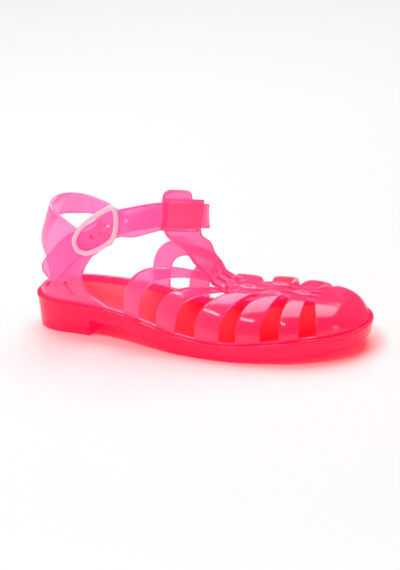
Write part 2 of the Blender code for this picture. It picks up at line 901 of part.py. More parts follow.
def base_places(end):
    """Distances along the base line, from the heel's back up to the given share of the quarter's girth."""
    count = int(np.ceil(end * QUARTER_LENGTH / SKIN_PITCH)) + 1
    return list(np.linspace(0, end * QUARTER_LENGTH, count))


def base_line(end, side):
    """Flat-pattern points where one side's quarter stands on the sole."""
    return [np.array([t, base_point(*station_at(side * t))[2]]) for t in base_places(end)]


def buckle_axes():
    """Place of the hinge bar on the tab's skin, with the directions heelward, upward and outward."""
    t, z = HINGE_PLACE[0] * QUARTER_LENGTH, pattern_height(HINGE_PLACE[1])
    out = wall_normal(t, z)
    heelward = np.array([-np.cos(BUCKLE_TILT), 0, -np.sin(BUCKLE_TILT)])
    heelward = unit(heelward - out * np.dot(heelward, out))
    return heel_wall(t, z), heelward, np.cross(heelward, out), out


def quarters(sheet):
    """Heel cup with its band, legs and slit, cut from the flat pattern and laid on the heel wall."""
    root_low, root_high = heel_pattern(STRAP_ROOT)
    strap_root = [root_low + (root_high - root_low) * k / STRAP_CELLS for k in range(STRAP_CELLS + 1)]
    crest = np.array([0.0, pattern_height(QUARTER_CREST)])
    inner = base_line(INNER_BASE, 1)
    inner += smooth_curve([inner[-1]] + heel_pattern(INNER_FRONT), 2)[1:]
    inner += strap_root + smooth_curve([root_high] + heel_pattern(INNER_TOP) + [crest], 2)[1:]
    outer = base_line(1.0, -1)
    outer += smooth_curve([outer[-1]] + heel_pattern(OUTER_FRONT), 2)[1:]
    tab = heel_pattern(OUTER_TAB)
    outer += tab + smooth_curve([tab[-1]] + heel_pattern(OUTER_TOP) + [crest], 2)[1:]
    boundary = inner + mirrored(outer)[-2:0:-1]
    opening = smooth_curve(heel_pattern(BACK_OPENING), 2, closed=True)
    holes = [opening, mirrored(heel_pattern(OUTER_SLIT))]
    points = list(boundary)
    edges = [(i, (i + 1) % len(boundary)) for i in range(len(boundary))]
    for loop in holes:
        start = len(points)
        points += loop
        edges += [(start + i, start + (i + 1) % len(loop)) for i in range(len(loop))]
    columns = int(QUARTER_LENGTH / SKIN_PITCH) + 4
    rise = SKIN_PITCH * np.sqrt(3) / 2
    for row in range(int(ANKLE_HEIGHT / rise)):
        for k in range(-columns, columns + 1):
            p = np.array([(k + 0.5 * (row % 2)) * SKIN_PITCH, inner[0][1] + row * rise])
            clear = inside(p, boundary) and not any(inside(p, loop) for loop in holes)
            if clear and min(distance_to(p, loop) for loop in [boundary] + holes) > SKIN_MARGIN * SKIN_PITCH:
                points.append(p)
    verts, _, faces, *_ = delaunay_2d_cdt([tuple(p) for p in points], edges, [], 0, 1e-5)
    flat = [np.array(v) for v in verts]
    placed = [heel_wall(p[0], p[1]) for p in flat]
    for number, p in enumerate(flat):
        foot = base_point(*station_at(p[0]))
        if abs(p[1] - foot[2]) < 1e-3:
            placed[number] = foot
    for face in faces:
        a, b, c = (flat[i] for i in face)
        centre = (a + b + c) / 3
        thin = abs((b[0] - a[0]) * (c[1] - a[1]) - (b[1] - a[1]) * (c[0] - a[0])) < 1e-3
        if not thin and inside(centre, boundary) and not any(inside(centre, loop) for loop in holes):
            sheet.face(*[placed[i] for i in face])
    return [heel_wall(*p) for p in strap_root]


def base_band(sheet):
    """Rim of the upper that stands in the channel between the sole's lip and the insole."""
    inner_heel = [station_at(t) for t in base_places(INNER_BASE)]
    inner_heel += [station_at(t) for t in base_places(1.0) if t > (INNER_BASE + 0.05) * QUARTER_LENGTH]
    outer_heel = [station_at(-t) for t in base_places(1.0)[1:]]
    feet = [back + (front - back) * share for back, front, *_ in VAMP_STRIPS for share, raised in STRIP_LINES]
    feet += column(CAP_ROWS, 0)[:-1]
    loop = inner_heel + [(s, 1) for s in feet] + front_points()[::-1]
    loop += (outer_heel + [(s, -1) for s in feet])[::-1]
    high = [base_point(s, side) for s, side in loop]
    low = [np.append(outline(s, side, BASE_INSET), rim_height(s) - LIP_DEPTH + CLEARANCE) for s, side in loop]
    sheet.grid([low + low[:1], high + high[:1]])


# Ankle strap

def strap_lift():
    """Height of the ankle strap's skin over the wall that it lies on."""
    return CLEARANCE + WALL


def strap_route():
    """Points on the strap's outer skin with the direction across it, from the inner quarter to its free end."""
    across, up, out = turn_frame()
    top = tbar_top() - out * (WALL + CLEARANCE)
    origin, heelward, upward, outward = buckle_axes()
    buckle = origin + outward * strap_lift()
    level = np.array([0, 0, 1.0])
    route = []
    for along, mid, height in INNER_ROUTE:
        route.append((np.array([along * SOLE_LENGTH, mid * BALL_WIDTH, height * ANKLE_HEIGHT]), level))
    route += [(top + across * BRIDGE_WIDTH / 2 * share, up) for share in BRIDGE_RUN]
    for share, rise in STRAP_UNDER_FRAME:
        route.append((buckle + heelward * FRAME_LENGTH * share + upward * STRAP_WIDTH * rise, upward))
    for along, height in TAIL_ROUTE:
        t, z = -along * QUARTER_LENGTH, pattern_height(height)
        route.append((heel_wall(t, z) + wall_normal(t, z) * (strap_lift() + TAIL_LIFT), upward))
    return route


def strap_frames(root):
    """Skin points along the strap with their directions forward, across and outward."""
    route = strap_route()
    start = root[len(root) // 2]
    stations = [np.append(start, unit(root[-1] - root[0]))] + [np.append(p, u) for p, u in route]
    curve = smooth_curve(stations, STRAP_STEPS, places=3)
    points = [c[:3] for c in curve]
    ups = [c[3:] for c in curve]
    frames = []
    for number in range(1, len(points)):
        ahead = points[min(number + 1, len(points) - 1)] - points[number - 1]
        forward = unit(ahead)
        lift = unit(ups[number] - forward * np.dot(ups[number], forward))
        frames.append((points[number], forward, lift, np.cross(lift, forward)))
    return frames


def strap(sheet, root):
    """Ankle strap: from the inner quarter round the front, through the bridge and the buckle, to its free end."""
    frames = strap_frames(root)
    shares = np.linspace(-0.5, 0.5, STRAP_CELLS + 1)
    rows = [root]
    for point, forward, lift, out in frames:
        rows.append([point + lift * STRAP_WIDTH * share for share in shares])
    point, forward, lift, out = frames[-1]
    for reach, width in STRAP_TIP:
        rows.append([point + (forward * reach + lift * width * share) * STRAP_WIDTH for share in shares])
    sheet.grid(rows)
    return frames


def ring_of(bm, centre, first, second, radius, sides):
    angles = [2 * np.pi * k / sides for k in range(sides)]
    return [bm.verts.new((centre + (first * np.cos(a) + second * np.sin(a)) * radius) / 1000) for a in angles]


def tube(bm, points, radius, sides=8, closed=False):
    """Round bar of the given radius along the points; the closed form has no ends."""
    count = len(points)
    side = None
    loops = []
    for i, point in enumerate(points):
        before = points[i - 1] if closed or i > 0 else points[i]
        after = points[(i + 1) % count] if closed or i < count - 1 else points[i]
        forward = unit(after - before)
        if side is None:
            side = unit(np.cross(forward, [0.31, 0.87, 0.38]))
        side = unit(side - forward * np.dot(side, forward))
        loops.append(ring_of(bm, point, side, np.cross(forward, side), radius, sides))
    pairs = list(zip(loops, loops[1:]))
    for low, high in pairs:
        for k in range(sides):
            j = (k + 1) % sides
            bm.faces.new([low[k], low[j], high[j], high[k]])
    if closed:
        low, high = loops[-1], loops[0]
        gaps = [sum((low[k].co - high[(k + turn) % sides].co).length for k in range(sides)) for turn in range(sides)]
        turn = gaps.index(min(gaps))
        for k in range(sides):
            j = (k + 1) % sides
            bm.faces.new([low[k], low[j], high[(j + turn) % sides], high[(k + turn) % sides]])
    else:
        bm.faces.new(loops[0][::-1])
        bm.faces.new(loops[-1])
    bmesh.ops.recalc_face_normals(bm, faces=bm.faces)


def hinge_centre():
    origin, heelward, upward, outward = buckle_axes()
    return origin - outward * KNUCKLE / 2


def knuckle_guide():
    """Rolled end of the outer tab, which holds the hinge bar."""
    origin, heelward, upward, outward = buckle_axes()
    bm = bmesh.new()
    half = upward * KNUCKLE_WIDTH / 2
    tube(bm, [hinge_centre() - half, hinge_centre() + half], KNUCKLE / 2, sides=12)
    return new_object("knuckle_guide", bm, TINT, 0.25)


def bore_guide():
    """Bore of the knuckle, a clearance wider than the hinge bar."""
    origin, heelward, upward, outward = buckle_axes()
    bm = bmesh.new()
    half = upward * (KNUCKLE_WIDTH / 2 + WALL)
    tube(bm, [hinge_centre() - half, hinge_centre() + half], HINGE_BAR / 2 + CLEARANCE, sides=12)
    return new_object("bore_guide", bm, TINT, 0.25)


def notch_guide():
    """Notch in the end of the tab, where the prong's eye sits between the knuckle's halves."""
    origin, heelward, upward, outward = buckle_axes()
    width = PRONG_EYE_WIDTH / 2 + CLEARANCE
    end = KNUCKLE / 2 + PRONG_EYE_WALL
    notch = [(-KNUCKLE, -width), (end, -width), (end, width), (-KNUCKLE, width)]
    return prism("notch_guide", notch, origin, heelward, upward, outward, -KNUCKLE - WALL / 2, CLEARANCE / 3)


def holes_guide(frames):
    """Row of round holes along the strap; the prong comes up through the middle one."""
    origin, heelward, upward, outward = buckle_axes()
    lengths = [0.0]
    for (a, *_), (b, *_) in zip(frames, frames[1:]):
        lengths.append(lengths[-1] + np.linalg.norm(b - a))
    target = origin + outward * strap_lift() - heelward * PRONG_REACH
    steps = [np.linalg.norm(f[0] - target) for f in frames]
    nearest = steps.index(min(steps))
    shift = np.dot(target - frames[nearest][0], frames[nearest][1])
    bm = bmesh.new()
    for k in HOLE_NUMBERS:
        place = lengths[nearest] + shift + k * HOLE_PITCH
        centre = np.array([np.interp(place, lengths, [f[0][axis] for f in frames]) for axis in range(3)])
        i = int(np.clip(np.searchsorted(lengths, place), 1, len(frames) - 1))
        out = unit(frames[i - 1][3] + frames[i][3])
        tube(bm, [centre - out * (WALL + CLEARANCE / 2), centre + out * WALL / 2], STRAP_HOLE / 2, sides=10)
    return new_object("holes_guide", bm, TINT, 0.25)


def buckle_point(a, b, n):
    """Point at a heelward, b upward and n outward of the tab's skin over the hinge bar."""
    origin, heelward, upward, outward = buckle_axes()
    return origin + heelward * a + upward * b + outward * n


def wire_height():
    """Height of the buckle frame's centre line over the tab's skin."""
    return strap_lift() + CLEARANCE + WIRE / 2


def buckle_frame():
    """D frame over the strap, with a hinge bar that passes under it through the tab's knuckle."""
    shape = smooth_curve([np.array([a * FRAME_LENGTH, b * FRAME_HEIGHT]) for a, b in FRAME_SHAPE], 2)
    bm = bmesh.new()
    tube(bm, [buckle_point(a, b, wire_height()) for a, b in shape], WIRE / 2, sides=10, closed=True)
    made = new_object("buckle_frame", bm, BUCKLE_TINT, 0.3)
    side = FRAME_HEIGHT / 2
    low = -KNUCKLE / 2
    turn = HINGE_SHOULDER
    bm = bmesh.new()
    path = [(side, wire_height()), (side, low + turn), (side - turn, low), (turn - side, low), (-side, low + turn),
            (-side, wire_height())]
    tube(bm, [buckle_point(0, b, n) for b, n in path], HINGE_BAR / 2, sides=8)
    boolean(made, new_object("hinge_bar_guide", bm, BUCKLE_TINT, 0.3), "UNION")
    return made


def buckle_prong():
    """Prong with an eye round the hinge bar; its tip comes up through the strap and leans on the frame's bar."""
    origin, heelward, upward, outward = buckle_axes()
    bore = HINGE_BAR / 2 + CLEARANCE
    eye = bore + PRONG_EYE_WALL
    bm = bmesh.new()
    half = PRONG_EYE_WIDTH / 2
    loops = [ring_of(bm, hinge_centre() + upward * b, heelward, outward, r, 12)
             for b, r in ((-half, bore), (-half, eye), (half, eye), (half, bore))]
    for low, high in zip(loops, loops[1:] + loops[:1]):
        for k in range(12):
            j = (k + 1) % 12
            bm.faces.new([low[k], low[j], high[j], high[k]])
    bmesh.ops.recalc_face_normals(bm, faces=bm.faces)
    made = new_object("buckle_prong", bm, BUCKLE_TINT, 0.3)
    path = smooth_curve([buckle_point(-a * PRONG_REACH, 0, n * WALL) for a, n in PRONG_SHAPE], 2)
    bm = bmesh.new()
    tube(bm, path, PRONG / 2, sides=8)
    boolean(made, new_object("prong_guide", bm, BUCKLE_TINT, 0.3), "UNION")
    return made


def upper():
    sheet = Sheet()
    vamp(sheet)
    base_band(sheet)
    root = quarters(sheet)
    frames = strap(sheet, root)
    bm = bmesh.new()
    verts = [bm.verts.new(p / 1000) for p in sheet.points]
    for face in sheet.faces:
        bm.faces.new([verts[i] for i in face])
    bmesh.ops.recalc_face_normals(bm, faces=bm.faces)
    bm.normal_update()
    toe_face = max(bm.faces, key=lambda f: f.calc_center_median().x)
    if toe_face.normal.x < 0:
        bmesh.ops.reverse_faces(bm, faces=bm.faces)
    made = new_object("upper", bm, TINT, 0.25)
    wall = made.modifiers.new("wall", "SOLIDIFY")
    wall.thickness = WALL / 1000
    wall.offset = -1.0
    boolean(made, bridge_guide(), "UNION")
    boolean(made, tab_guide(), "UNION")
    boolean(made, knuckle_guide(), "UNION")
    boolean(made, bore_guide(), "DIFFERENCE")
    boolean(made, notch_guide(), "DIFFERENCE")
    boolean(made, holes_guide(frames), "DIFFERENCE")
    return made


def stand_centre():
    """Middle of the sole's plan box, which is where the model's origin goes."""
    ys = [outline(s, side)[1] for s in sole_stations() for side in (-1, 1)]
    return np.array([SOLE_LENGTH / 2, (min(ys) + max(ys)) / 2, 0.0])


def clear_scene():
    for thing in list(bpy.data.objects):
        bpy.data.objects.remove(thing, do_unlink=True)


clear_scene()
outsole = sole_body()
boolean(outsole, studs(), "UNION")
insole()
upper()
buckle_frame()
buckle_prong()
sandal = bpy.data.objects.new("sandal", None)
bpy.context.collection.objects.link(sandal)
sandal.location = -stand_centre() / 1000
for thing in bpy.data.objects:
    if thing is not sandal:
        thing.parent = sandal
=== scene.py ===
import bmesh
import bpy
import numpy as np
from mathutils import Matrix, Vector
from mathutils.geometry import delaunay_2d_cdt


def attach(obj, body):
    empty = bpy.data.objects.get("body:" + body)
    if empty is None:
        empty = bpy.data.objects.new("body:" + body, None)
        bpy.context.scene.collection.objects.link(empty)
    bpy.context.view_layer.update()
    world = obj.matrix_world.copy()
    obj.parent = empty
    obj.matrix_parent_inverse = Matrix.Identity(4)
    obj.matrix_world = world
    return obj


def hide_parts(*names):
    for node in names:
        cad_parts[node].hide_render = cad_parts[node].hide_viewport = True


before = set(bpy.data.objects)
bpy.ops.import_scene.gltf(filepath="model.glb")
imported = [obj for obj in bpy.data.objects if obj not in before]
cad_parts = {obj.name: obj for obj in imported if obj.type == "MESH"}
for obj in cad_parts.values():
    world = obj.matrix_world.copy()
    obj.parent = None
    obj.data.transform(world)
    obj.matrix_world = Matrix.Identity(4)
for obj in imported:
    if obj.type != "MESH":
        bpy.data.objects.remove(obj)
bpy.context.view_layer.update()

# Child's jelly sandal for the right foot, buckled, on a pale floor. Lengths are worked in millimetres from the
# back of the heel along +X, with the inner side of the foot at +Y, and turned to the frame's metres in each mesh.


# Outsole: the sole of one shot of soft PVC, injection-moulded with its lip, heel block and domed studs. Its section
# is deep, so its colour is the deepest, and a strong painted red glow (emission) stands in for the light that shines
# through its edges.

SOLE_LENGTH = 172.0
BALL_WIDTH = 68.0
HEEL_RIM_HEIGHT = 17.2
LIP_WIDTH = 1.7
LIP_DEPTH = 4.8
LIP_STEP = 0.5
LIP_BAND = 1.8
LIP_ROUND = 0.5
LIP_INNER_ROUND = 0.2
EDGE_ROUND = 1.0
FOOT_INSET = 1.9
FOOT_FLARE = 0.9
HEEL_TAPER = 1.4
FOOT_TAPER = 0.5
TAPER_FADE = 0.25
BORDER_WIDTH = 5.2
RECESS_DEPTH = 1.6
RECESS_SLOPE = 0.8
RECESS_START = 0.225
RECESS_RUN = 0.02
RECESS_STATIONS = (0.210, RECESS_START, 0.235, 0.245)
SHANK_START = 0.255
HEEL_BLOCK = 33.0 / SOLE_LENGTH
HEEL_STEP = 0.007
STUD_PROUD = 0.4
STUD_PITCH = 12.9
STUD_FRONT_GAP = 15.5
HEEL_ROUND = 0.135
TOE_ROUND = 0.22
ROUND_POWER = 2.2
SOLE_PLAN = np.array((
    # station, middle, half width, in shares of the length and the ball's width
    (0.00, -0.004, 0.305),
    (0.12, 0.023, 0.310),
    (0.25, 0.007, 0.335),
    (0.40, -0.057, 0.374),
    (0.52, -0.069, 0.419),
    (0.62, -0.037, 0.475),
    (0.70, -0.001, 0.501),
    (0.80, 0.029, 0.488),
    (0.90, 0.048, 0.457),
    (1.00, 0.053, 0.426),
))
SOLE_SIDE = np.array((
    # station, rim, underside, in shares of the length and the heel rim's height
    (0.00, 1.000, 0.442),
    (0.20, 0.948, 0.442),
    (0.35, 0.837, 0.314),
    (0.49, 0.570, 0.000),
    (0.63, 0.488, 0.000),
    (0.74, 0.576, 0.052),
    (0.87, 0.715, 0.198),
    (1.00, 0.773, 0.326),
))
STUD_ROWS = ((2, 0.24), (4, 0.60), (4, 0.64), (5, 0.72), (4, 0.60), (4, 0.50), (3, 0.36))
STUD_PROFILE = np.array((
    # radius, height over the stud's top plane
    (5.34, 2.70),
    (5.34, 1.80),
    (5.22, 1.45),
    (4.85, 1.00),
    (4.27, 0.50),
    (3.30, 0.18),
    (2.19, 0.02),
    (1.20, 0.00),
    (0.05, 0.00),
))
WELD = 2e-5
SMOOTH_ANGLE = 0.7


def hermite(t, low, high, run, leaving, arriving):
    """Cubic from low to high over a run, at its 0 to 1 place t, with its slopes where it leaves and arrives."""
    return ((2 * t**3 - 3 * t**2 + 1) * low + (t**3 - 2 * t**2 + t) * run * leaving
            + (3 * t**2 - 2 * t**3) * high + (t**3 - t**2) * run * arriving)


def smooth_line(table, column, x):
    """Monotone cubic through a table's column against its first one: each inner slope is the weighted harmonic
    mean of the two beside it, so the line never overshoots a row."""
    xs, ys, x = table[:, 0], table[:, column], np.asarray(x, float)
    step = np.diff(xs)
    slope = np.diff(ys) / step
    same = slope[:-1] * slope[1:] > 0
    w1, w2 = 2 * step[1:] + step[:-1], step[1:] + 2 * step[:-1]
    tangent = np.zeros(len(xs))
    tangent[1:-1][same] = (w1 + w2)[same] / (w1[same] / slope[:-1][same] + w2[same] / slope[1:][same])
    tangent[0], tangent[-1] = slope[0], slope[-1]
    i = np.clip(np.searchsorted(xs, x) - 1, 0, len(step) - 1)
    t = np.clip((x - xs[i]) / step[i], 0, 1)
    return hermite(t, ys[i], ys[i + 1], step[i], tangent[i], tangent[i + 1])


def middle(s):
    return BALL_WIDTH * smooth_line(SOLE_PLAN, 1, s)


def half_width(s):
    """Half width at station s: the plan's, times a superellipse that closes it at the heel and the toe."""
    s = np.asarray(s, float)
    near_end = np.maximum(np.clip(1 - s / HEEL_ROUND, 0, 1), np.clip((s - 1 + TOE_ROUND) / TOE_ROUND, 0, 1))
    return BALL_WIDTH * smooth_line(SOLE_PLAN, 2, s) * (1 - near_end**ROUND_POWER) ** (1 / ROUND_POWER)


def rim_height(s):
    return HEEL_RIM_HEIGHT * smooth_line(SOLE_SIDE, 1, s)


def on_block(s):
    return np.asarray(s) <= HEEL_BLOCK + 1e-9


def underside(s):
    return np.where(on_block(s), 0.0, HEEL_RIM_HEIGHT * smooth_line(SOLE_SIDE, 2, s))


def outline(s, side, inset=0.0):
    """Plan outline at station s on the inner (side 1) or outer (side -1) edge, moved square to itself by inset."""
    s = np.asarray(s, float)
    before, after = np.maximum(s - 1e-4, 0.0), np.minimum(s + 1e-4, 1.0)
    run = (after - before) * SOLE_LENGTH
    rise = middle(after) + side * half_width(after) - middle(before) - side * half_width(before)
    size = np.hypot(run, rise)
    return np.stack([s * SOLE_LENGTH + side * rise / size * inset,
                     middle(s) + side * half_width(s) - side * run / size * inset], -1)


def quads(grid, closed=False):
    """Corner positions of the faces of a grid of points, row by row; closed joins each row's end to its start."""
    if closed:
        grid = np.concatenate([grid, grid[:, :1]], 1)
    return np.stack([grid[:-1, :-1], grid[:-1, 1:], grid[1:, 1:], grid[1:, :-1]], 2).reshape(-1, 4, 3)


def weld(name, blocks):
    """One object from blocks of faces given by their corners in millimetres: corners that meet become one vertex."""
    corners = (np.concatenate([b.reshape(-1, 3) for b in blocks]) - STAND_CENTRE) / 1000
    counts = np.concatenate([np.full(len(b), b.shape[1]) for b in blocks])
    mesh = bpy.data.meshes.new(name)
    mesh.vertices.add(len(corners))
    mesh.vertices.foreach_set("co", corners.ravel())
    mesh.loops.add(len(corners))
    mesh.loops.foreach_set("vertex_index", np.arange(len(corners)))
    mesh.polygons.add(len(counts))
    mesh.polygons.foreach_set("loop_start", np.cumsum(counts) - counts)
    mesh.update(calc_edges=True)
    bm = bmesh.new()
    bm.from_mesh(mesh)
    bmesh.ops.remove_doubles(bm, verts=bm.verts, dist=WELD)
    bmesh.ops.dissolve_degenerate(bm, edges=bm.edges, dist=WELD)
    bmesh.ops.recalc_face_normals(bm, faces=bm.faces)
    bm.to_mesh(mesh)
    bm.free()
    piece = bpy.data.objects.new(name, mesh)
    bpy.context.scene.collection.objects.link(piece)
    return piece


def settle(piece, sharp_angle):
    """Keeps the result of the piece's modifiers as its mesh and shades it smooth up to the given angle."""
    bpy.context.view_layer.update()
    mesh = bpy.data.meshes.new_from_object(piece.evaluated_get(bpy.context.evaluated_depsgraph_get()))
    piece.modifiers.clear()
    piece.data = mesh
    mesh.shade_smooth()
    mesh.set_sharp_from_angle(angle=sharp_angle)


def srgb(code):
    """Linear colour of an sRGB hex value, by the standard's two-part curve."""
    value = np.array([int(code[i:i + 2], 16) for i in (1, 3, 5)]) / 255
    linear = np.where(value <= 0.04045, value / 12.92, ((value + 0.055) / 1.055) ** 2.4)
    return (*linear.tolist(), 1.0)


def add_node(tree, kind, settings={}, **links):
    """Adds a node to a material, with its settings by name and its inputs as values or as other nodes' outputs.
    A ramp's two tones are one setting."""
    node = tree.nodes.new(kind)
    for stop, code in zip((0, 1), settings.get("tones", ())):
        node.color_ramp.elements[stop].color = srgb(code)
    for key in settings.keys() - {"tones"}:
        setattr(node, key, settings[key])
    for key, value in links.items():
        socket = node.inputs[key.replace("_", " ")]
        if isinstance(value, bpy.types.NodeSocket):
            tree.links.new(value, socket)
        else:
            socket.default_value = value
    return node


def new_material(name):
    """An empty material, its nodes, and the piece's Object coordinates in them."""
    material = bpy.data.materials.new(name)
    material.use_nodes = True
    material.node_tree.nodes.clear()
    place = add_node(material.node_tree, "ShaderNodeTexCoord").outputs["Object"]
    return material, material.node_tree, place


def level_rings(stations, levels):
    """Closed rings round the sole, one for each level's inset and height over every station."""
    s = np.concatenate([stations, stations[-2:0:-1]])
    side = np.concatenate([np.ones(len(stations)), -np.ones(len(stations) - 2)])
    return np.array([np.column_stack([outline(s, side, inset(s)), height(s)]) for inset, height in levels])


def ring_solid(rings, count):
    """Faces between the rings, and those that fill the first and the last from side to side, by station."""
    i, total = np.arange(count - 1), rings.shape[1]
    across = np.stack([i, i + 1, (total - i - 1) % total, (total - i) % total], 1)
    return [quads(rings, closed=True), rings[0][across], rings[-1][across]]


# Stations of the sole's rings: close together round the ends, and where the heel block ends and the recess starts
heel_stations = HEEL_ROUND * (1 - np.cos(np.linspace(0, np.pi / 2, 33)[:-1]))
toe_stations = 1 - TOE_ROUND + TOE_ROUND * np.sin(np.linspace(0, np.pi / 2, 41)[1:])
sole_stations = np.concatenate([heel_stations, np.linspace(HEEL_ROUND, HEEL_BLOCK, 8),
                                [HEEL_BLOCK + HEEL_STEP], RECESS_STATIONS,
                                np.linspace(SHANK_START, 1 - TOE_ROUND, 72), toe_stations])
edge_y = np.concatenate([outline(sole_stations, side)[:, 1] for side in (-1, 1)])
STAND_CENTRE = np.array([SOLE_LENGTH / 2, (edge_y.min() + edge_y.max()) / 2, 0.0])


def border(s):
    return underside(s) + np.where(on_block(s), 0.0, STUD_PROUD)


def tapered(inset, share):
    """Inset of a level, with its share of the heel block's taper where the heel block is."""
    return lambda s: inset + HEEL_TAPER * share * on_block(s)


def over(line, rise):
    return lambda s: line(s) + rise


def recess_depth(s):
    return border(s) + RECESS_DEPTH * np.clip((s - RECESS_START) / RECESS_RUN, 0, 1)


# Levels of the sole from the recess out under the border, up the side, over the lip and down into the channel
foot_arc = np.linspace(0, np.pi / 2, 6)
lip_arc = np.linspace(0, np.pi / 2, 5)
sole_levels = [(tapered(BORDER_WIDTH + RECESS_SLOPE, 1.0), recess_depth), (tapered(BORDER_WIDTH, 1.0), border)]
sole_levels += [(tapered(FOOT_INSET - FOOT_FLARE * np.sin(a), FOOT_TAPER - TAPER_FADE * np.sin(a)),
                 over(border, EDGE_ROUND * (1 - np.cos(a)))) for a in foot_arc]
sole_levels += [(tapered(LIP_STEP, 0.0), over(rim_height, -LIP_BAND - LIP_STEP)),
                (tapered(LIP_STEP * 0.4, 0.0), over(rim_height, -LIP_BAND - LIP_STEP * 0.5)),
                (tapered(0.0, 0.0), over(rim_height, -LIP_BAND + 0.1))]
sole_levels += [(tapered(LIP_ROUND - LIP_ROUND * np.cos(a), 0.0),
                 over(rim_height, LIP_ROUND * np.sin(a) - LIP_ROUND)) for a in lip_arc]
sole_levels += [(tapered(LIP_WIDTH - LIP_INNER_ROUND, 0.0), rim_height),
                (tapered(LIP_WIDTH, 0.0), over(rim_height, -LIP_INNER_ROUND)),
                (tapered(LIP_WIDTH, 0.0), over(rim_height, -LIP_DEPTH))]
sole_rings = level_rings(sole_stations, sole_levels)
sole_blocks = ring_solid(sole_rings, len(sole_stations))
angles = np.linspace(0, 2 * np.pi, 33)[:-1]
for number, (count, spread) in enumerate(STUD_ROWS):
    s = 1 - (STUD_FRONT_GAP + number * STUD_PITCH) / SOLE_LENGTH
    for place in np.linspace(-0.5, 0.5, count):
        centre = np.array([s * SOLE_LENGTH, middle(s) + place * spread * BALL_WIDTH, underside(s)])
        radius, height = STUD_PROFILE[:, :1], STUD_PROFILE[:, 1:]
        dome = np.stack([radius * np.cos(angles), radius * np.sin(angles), height + 0 * angles], -1) + centre
        lid = np.concatenate([dome[:1], np.broadcast_to(dome[:1].mean(1, keepdims=True), dome[:1].shape)])
        sole_blocks += [quads(dome, closed=True), quads(lid, closed=True)]
outsole = weld("moulded_sole", sole_blocks)
settle(outsole, SMOOTH_ANGLE)

# Injection-moulded translucent PVC in a heavy section: the coral red saturates with depth, a strong painted red glow
# (emission) stands in for the light that would come out of it again, and the mould leaves it glossy
sole_pvc, tree, place = new_material("translucent_pvc_thick_moulding")
ripple = add_node(tree, "ShaderNodeTexNoise", Vector=place, Scale=260.0, Detail=3.0, Roughness=0.5)
relief = add_node(tree, "ShaderNodeBump", Height=ripple.outputs["Fac"], Strength=0.12, Distance=0.0002)
cloud = add_node(tree, "ShaderNodeTexNoise", Vector=place, Scale=45.0, Detail=2.0, Roughness=0.5)
tint = add_node(tree, "ShaderNodeValToRGB", {"tones": ("#F00430", "#FF0E3C")}, Fac=cloud.outputs["Fac"])
# Painted glow: the strong red emission stands in for light shining through the PVC, and lights the floor red round
# the sole
shader = add_node(tree, "ShaderNodeBsdfPrincipled", Base_Color=tint.outputs["Color"], Roughness=0.22, IOR=1.53,
                  Specular_IOR_Level=0.28, Transmission_Weight=0.35, Normal=relief.outputs["Normal"],
                  Emission_Color=srgb("#FF0220"), Emission_Strength=3.6)
add_node(tree, "ShaderNodeOutputMaterial", Surface=shader.outputs["BSDF"])
outsole.data.materials.append(sole_pvc)
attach(outsole, "root")
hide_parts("outsole")


# Insole: a footbed of the same PVC, moulded with a fine grain that makes it matt. It is dropped into the sole's
# channel, a little clear of its floor and of the upper's rim all round.

CLEARANCE = 0.3
WALL = 2.0
INSOLE_THICKNESS = 2.2
INSOLE_ROUND = 0.5
footbed_edge = LIP_WIDTH + CLEARANCE + WALL + CLEARANCE
footbed_base = CLEARANCE - LIP_DEPTH
footbed_top = footbed_base + INSOLE_THICKNESS
insole_levels = [(tapered(footbed_edge, 0.0), over(rim_height, footbed_base))]
insole_levels += [(tapered(footbed_edge + INSOLE_ROUND - INSOLE_ROUND * np.cos(a), 0.0),
                   over(rim_height, footbed_top - INSOLE_ROUND + INSOLE_ROUND * np.sin(a))) for a in lip_arc]
insole_rings = level_rings(sole_stations, insole_levels)
insole = weld("footbed", ring_solid(insole_rings, len(sole_stations)))
settle(insole, SMOOTH_ANGLE)
COLOUR_A, COLOUR_B, COLOUR_RESULT = 6, 7, 2  # sockets of a mix of colours, which has others of the same names


def fade_forward(tree, place, heelward_tone, toeward_tone, start, end):
    """Goes from one ramp's tones to the other's between two places along the shoe: the tone, and the share."""
    along = add_node(tree, "ShaderNodeSeparateXYZ", Vector=place)
    share = add_node(tree, "ShaderNodeMapRange", {"interpolation_type": "SMOOTHSTEP"}, Value=along.outputs["X"],
                     From_Min=start, From_Max=end).outputs["Result"]
    mix = add_node(tree, "ShaderNodeMix", {"data_type": "RGBA"}, Factor=share)
    tree.links.new(heelward_tone.outputs["Color"], mix.inputs[COLOUR_A])
    tree.links.new(toeward_tone.outputs["Color"], mix.inputs[COLOUR_B])
    return mix.outputs[COLOUR_RESULT], share


# Moulded PVC with an etched grain: pits about 0.8 mm apart scatter the light, so it is matt. The red is painted
# paler under the heel, as painted light where the lamps fall on it, and deeper under the forefoot, as painted shade
# under the strips, where a stronger painted red glow (emission) stands in for the light that comes in through the
# sole's sides.
footbed_pvc, tree, place = new_material("grained_pvc_footbed")
pits = add_node(tree, "ShaderNodeTexVoronoi", Vector=place, Scale=1150.0)
dust = add_node(tree, "ShaderNodeTexNoise", Vector=place, Scale=900.0, Detail=4.0, Roughness=0.6)
relief = add_node(tree, "ShaderNodeBump", Height=pits.outputs["Distance"], Strength=0.55, Distance=0.0003)
grain = add_node(tree, "ShaderNodeMath", {"operation": "MULTIPLY"})
tree.links.new(pits.outputs["Distance"], grain.inputs[0])
tree.links.new(dust.outputs["Fac"], grain.inputs[1])
# Painted light: the heel's grain is paler where the lamps fall on it
heel_grain_painted_lit = add_node(tree, "ShaderNodeValToRGB", {"tones": ("#E81C3C", "#FF6478")}, Fac=grain.outputs["Value"])
heel_grain_painted_lit.color_ramp.elements[1].position = 0.45
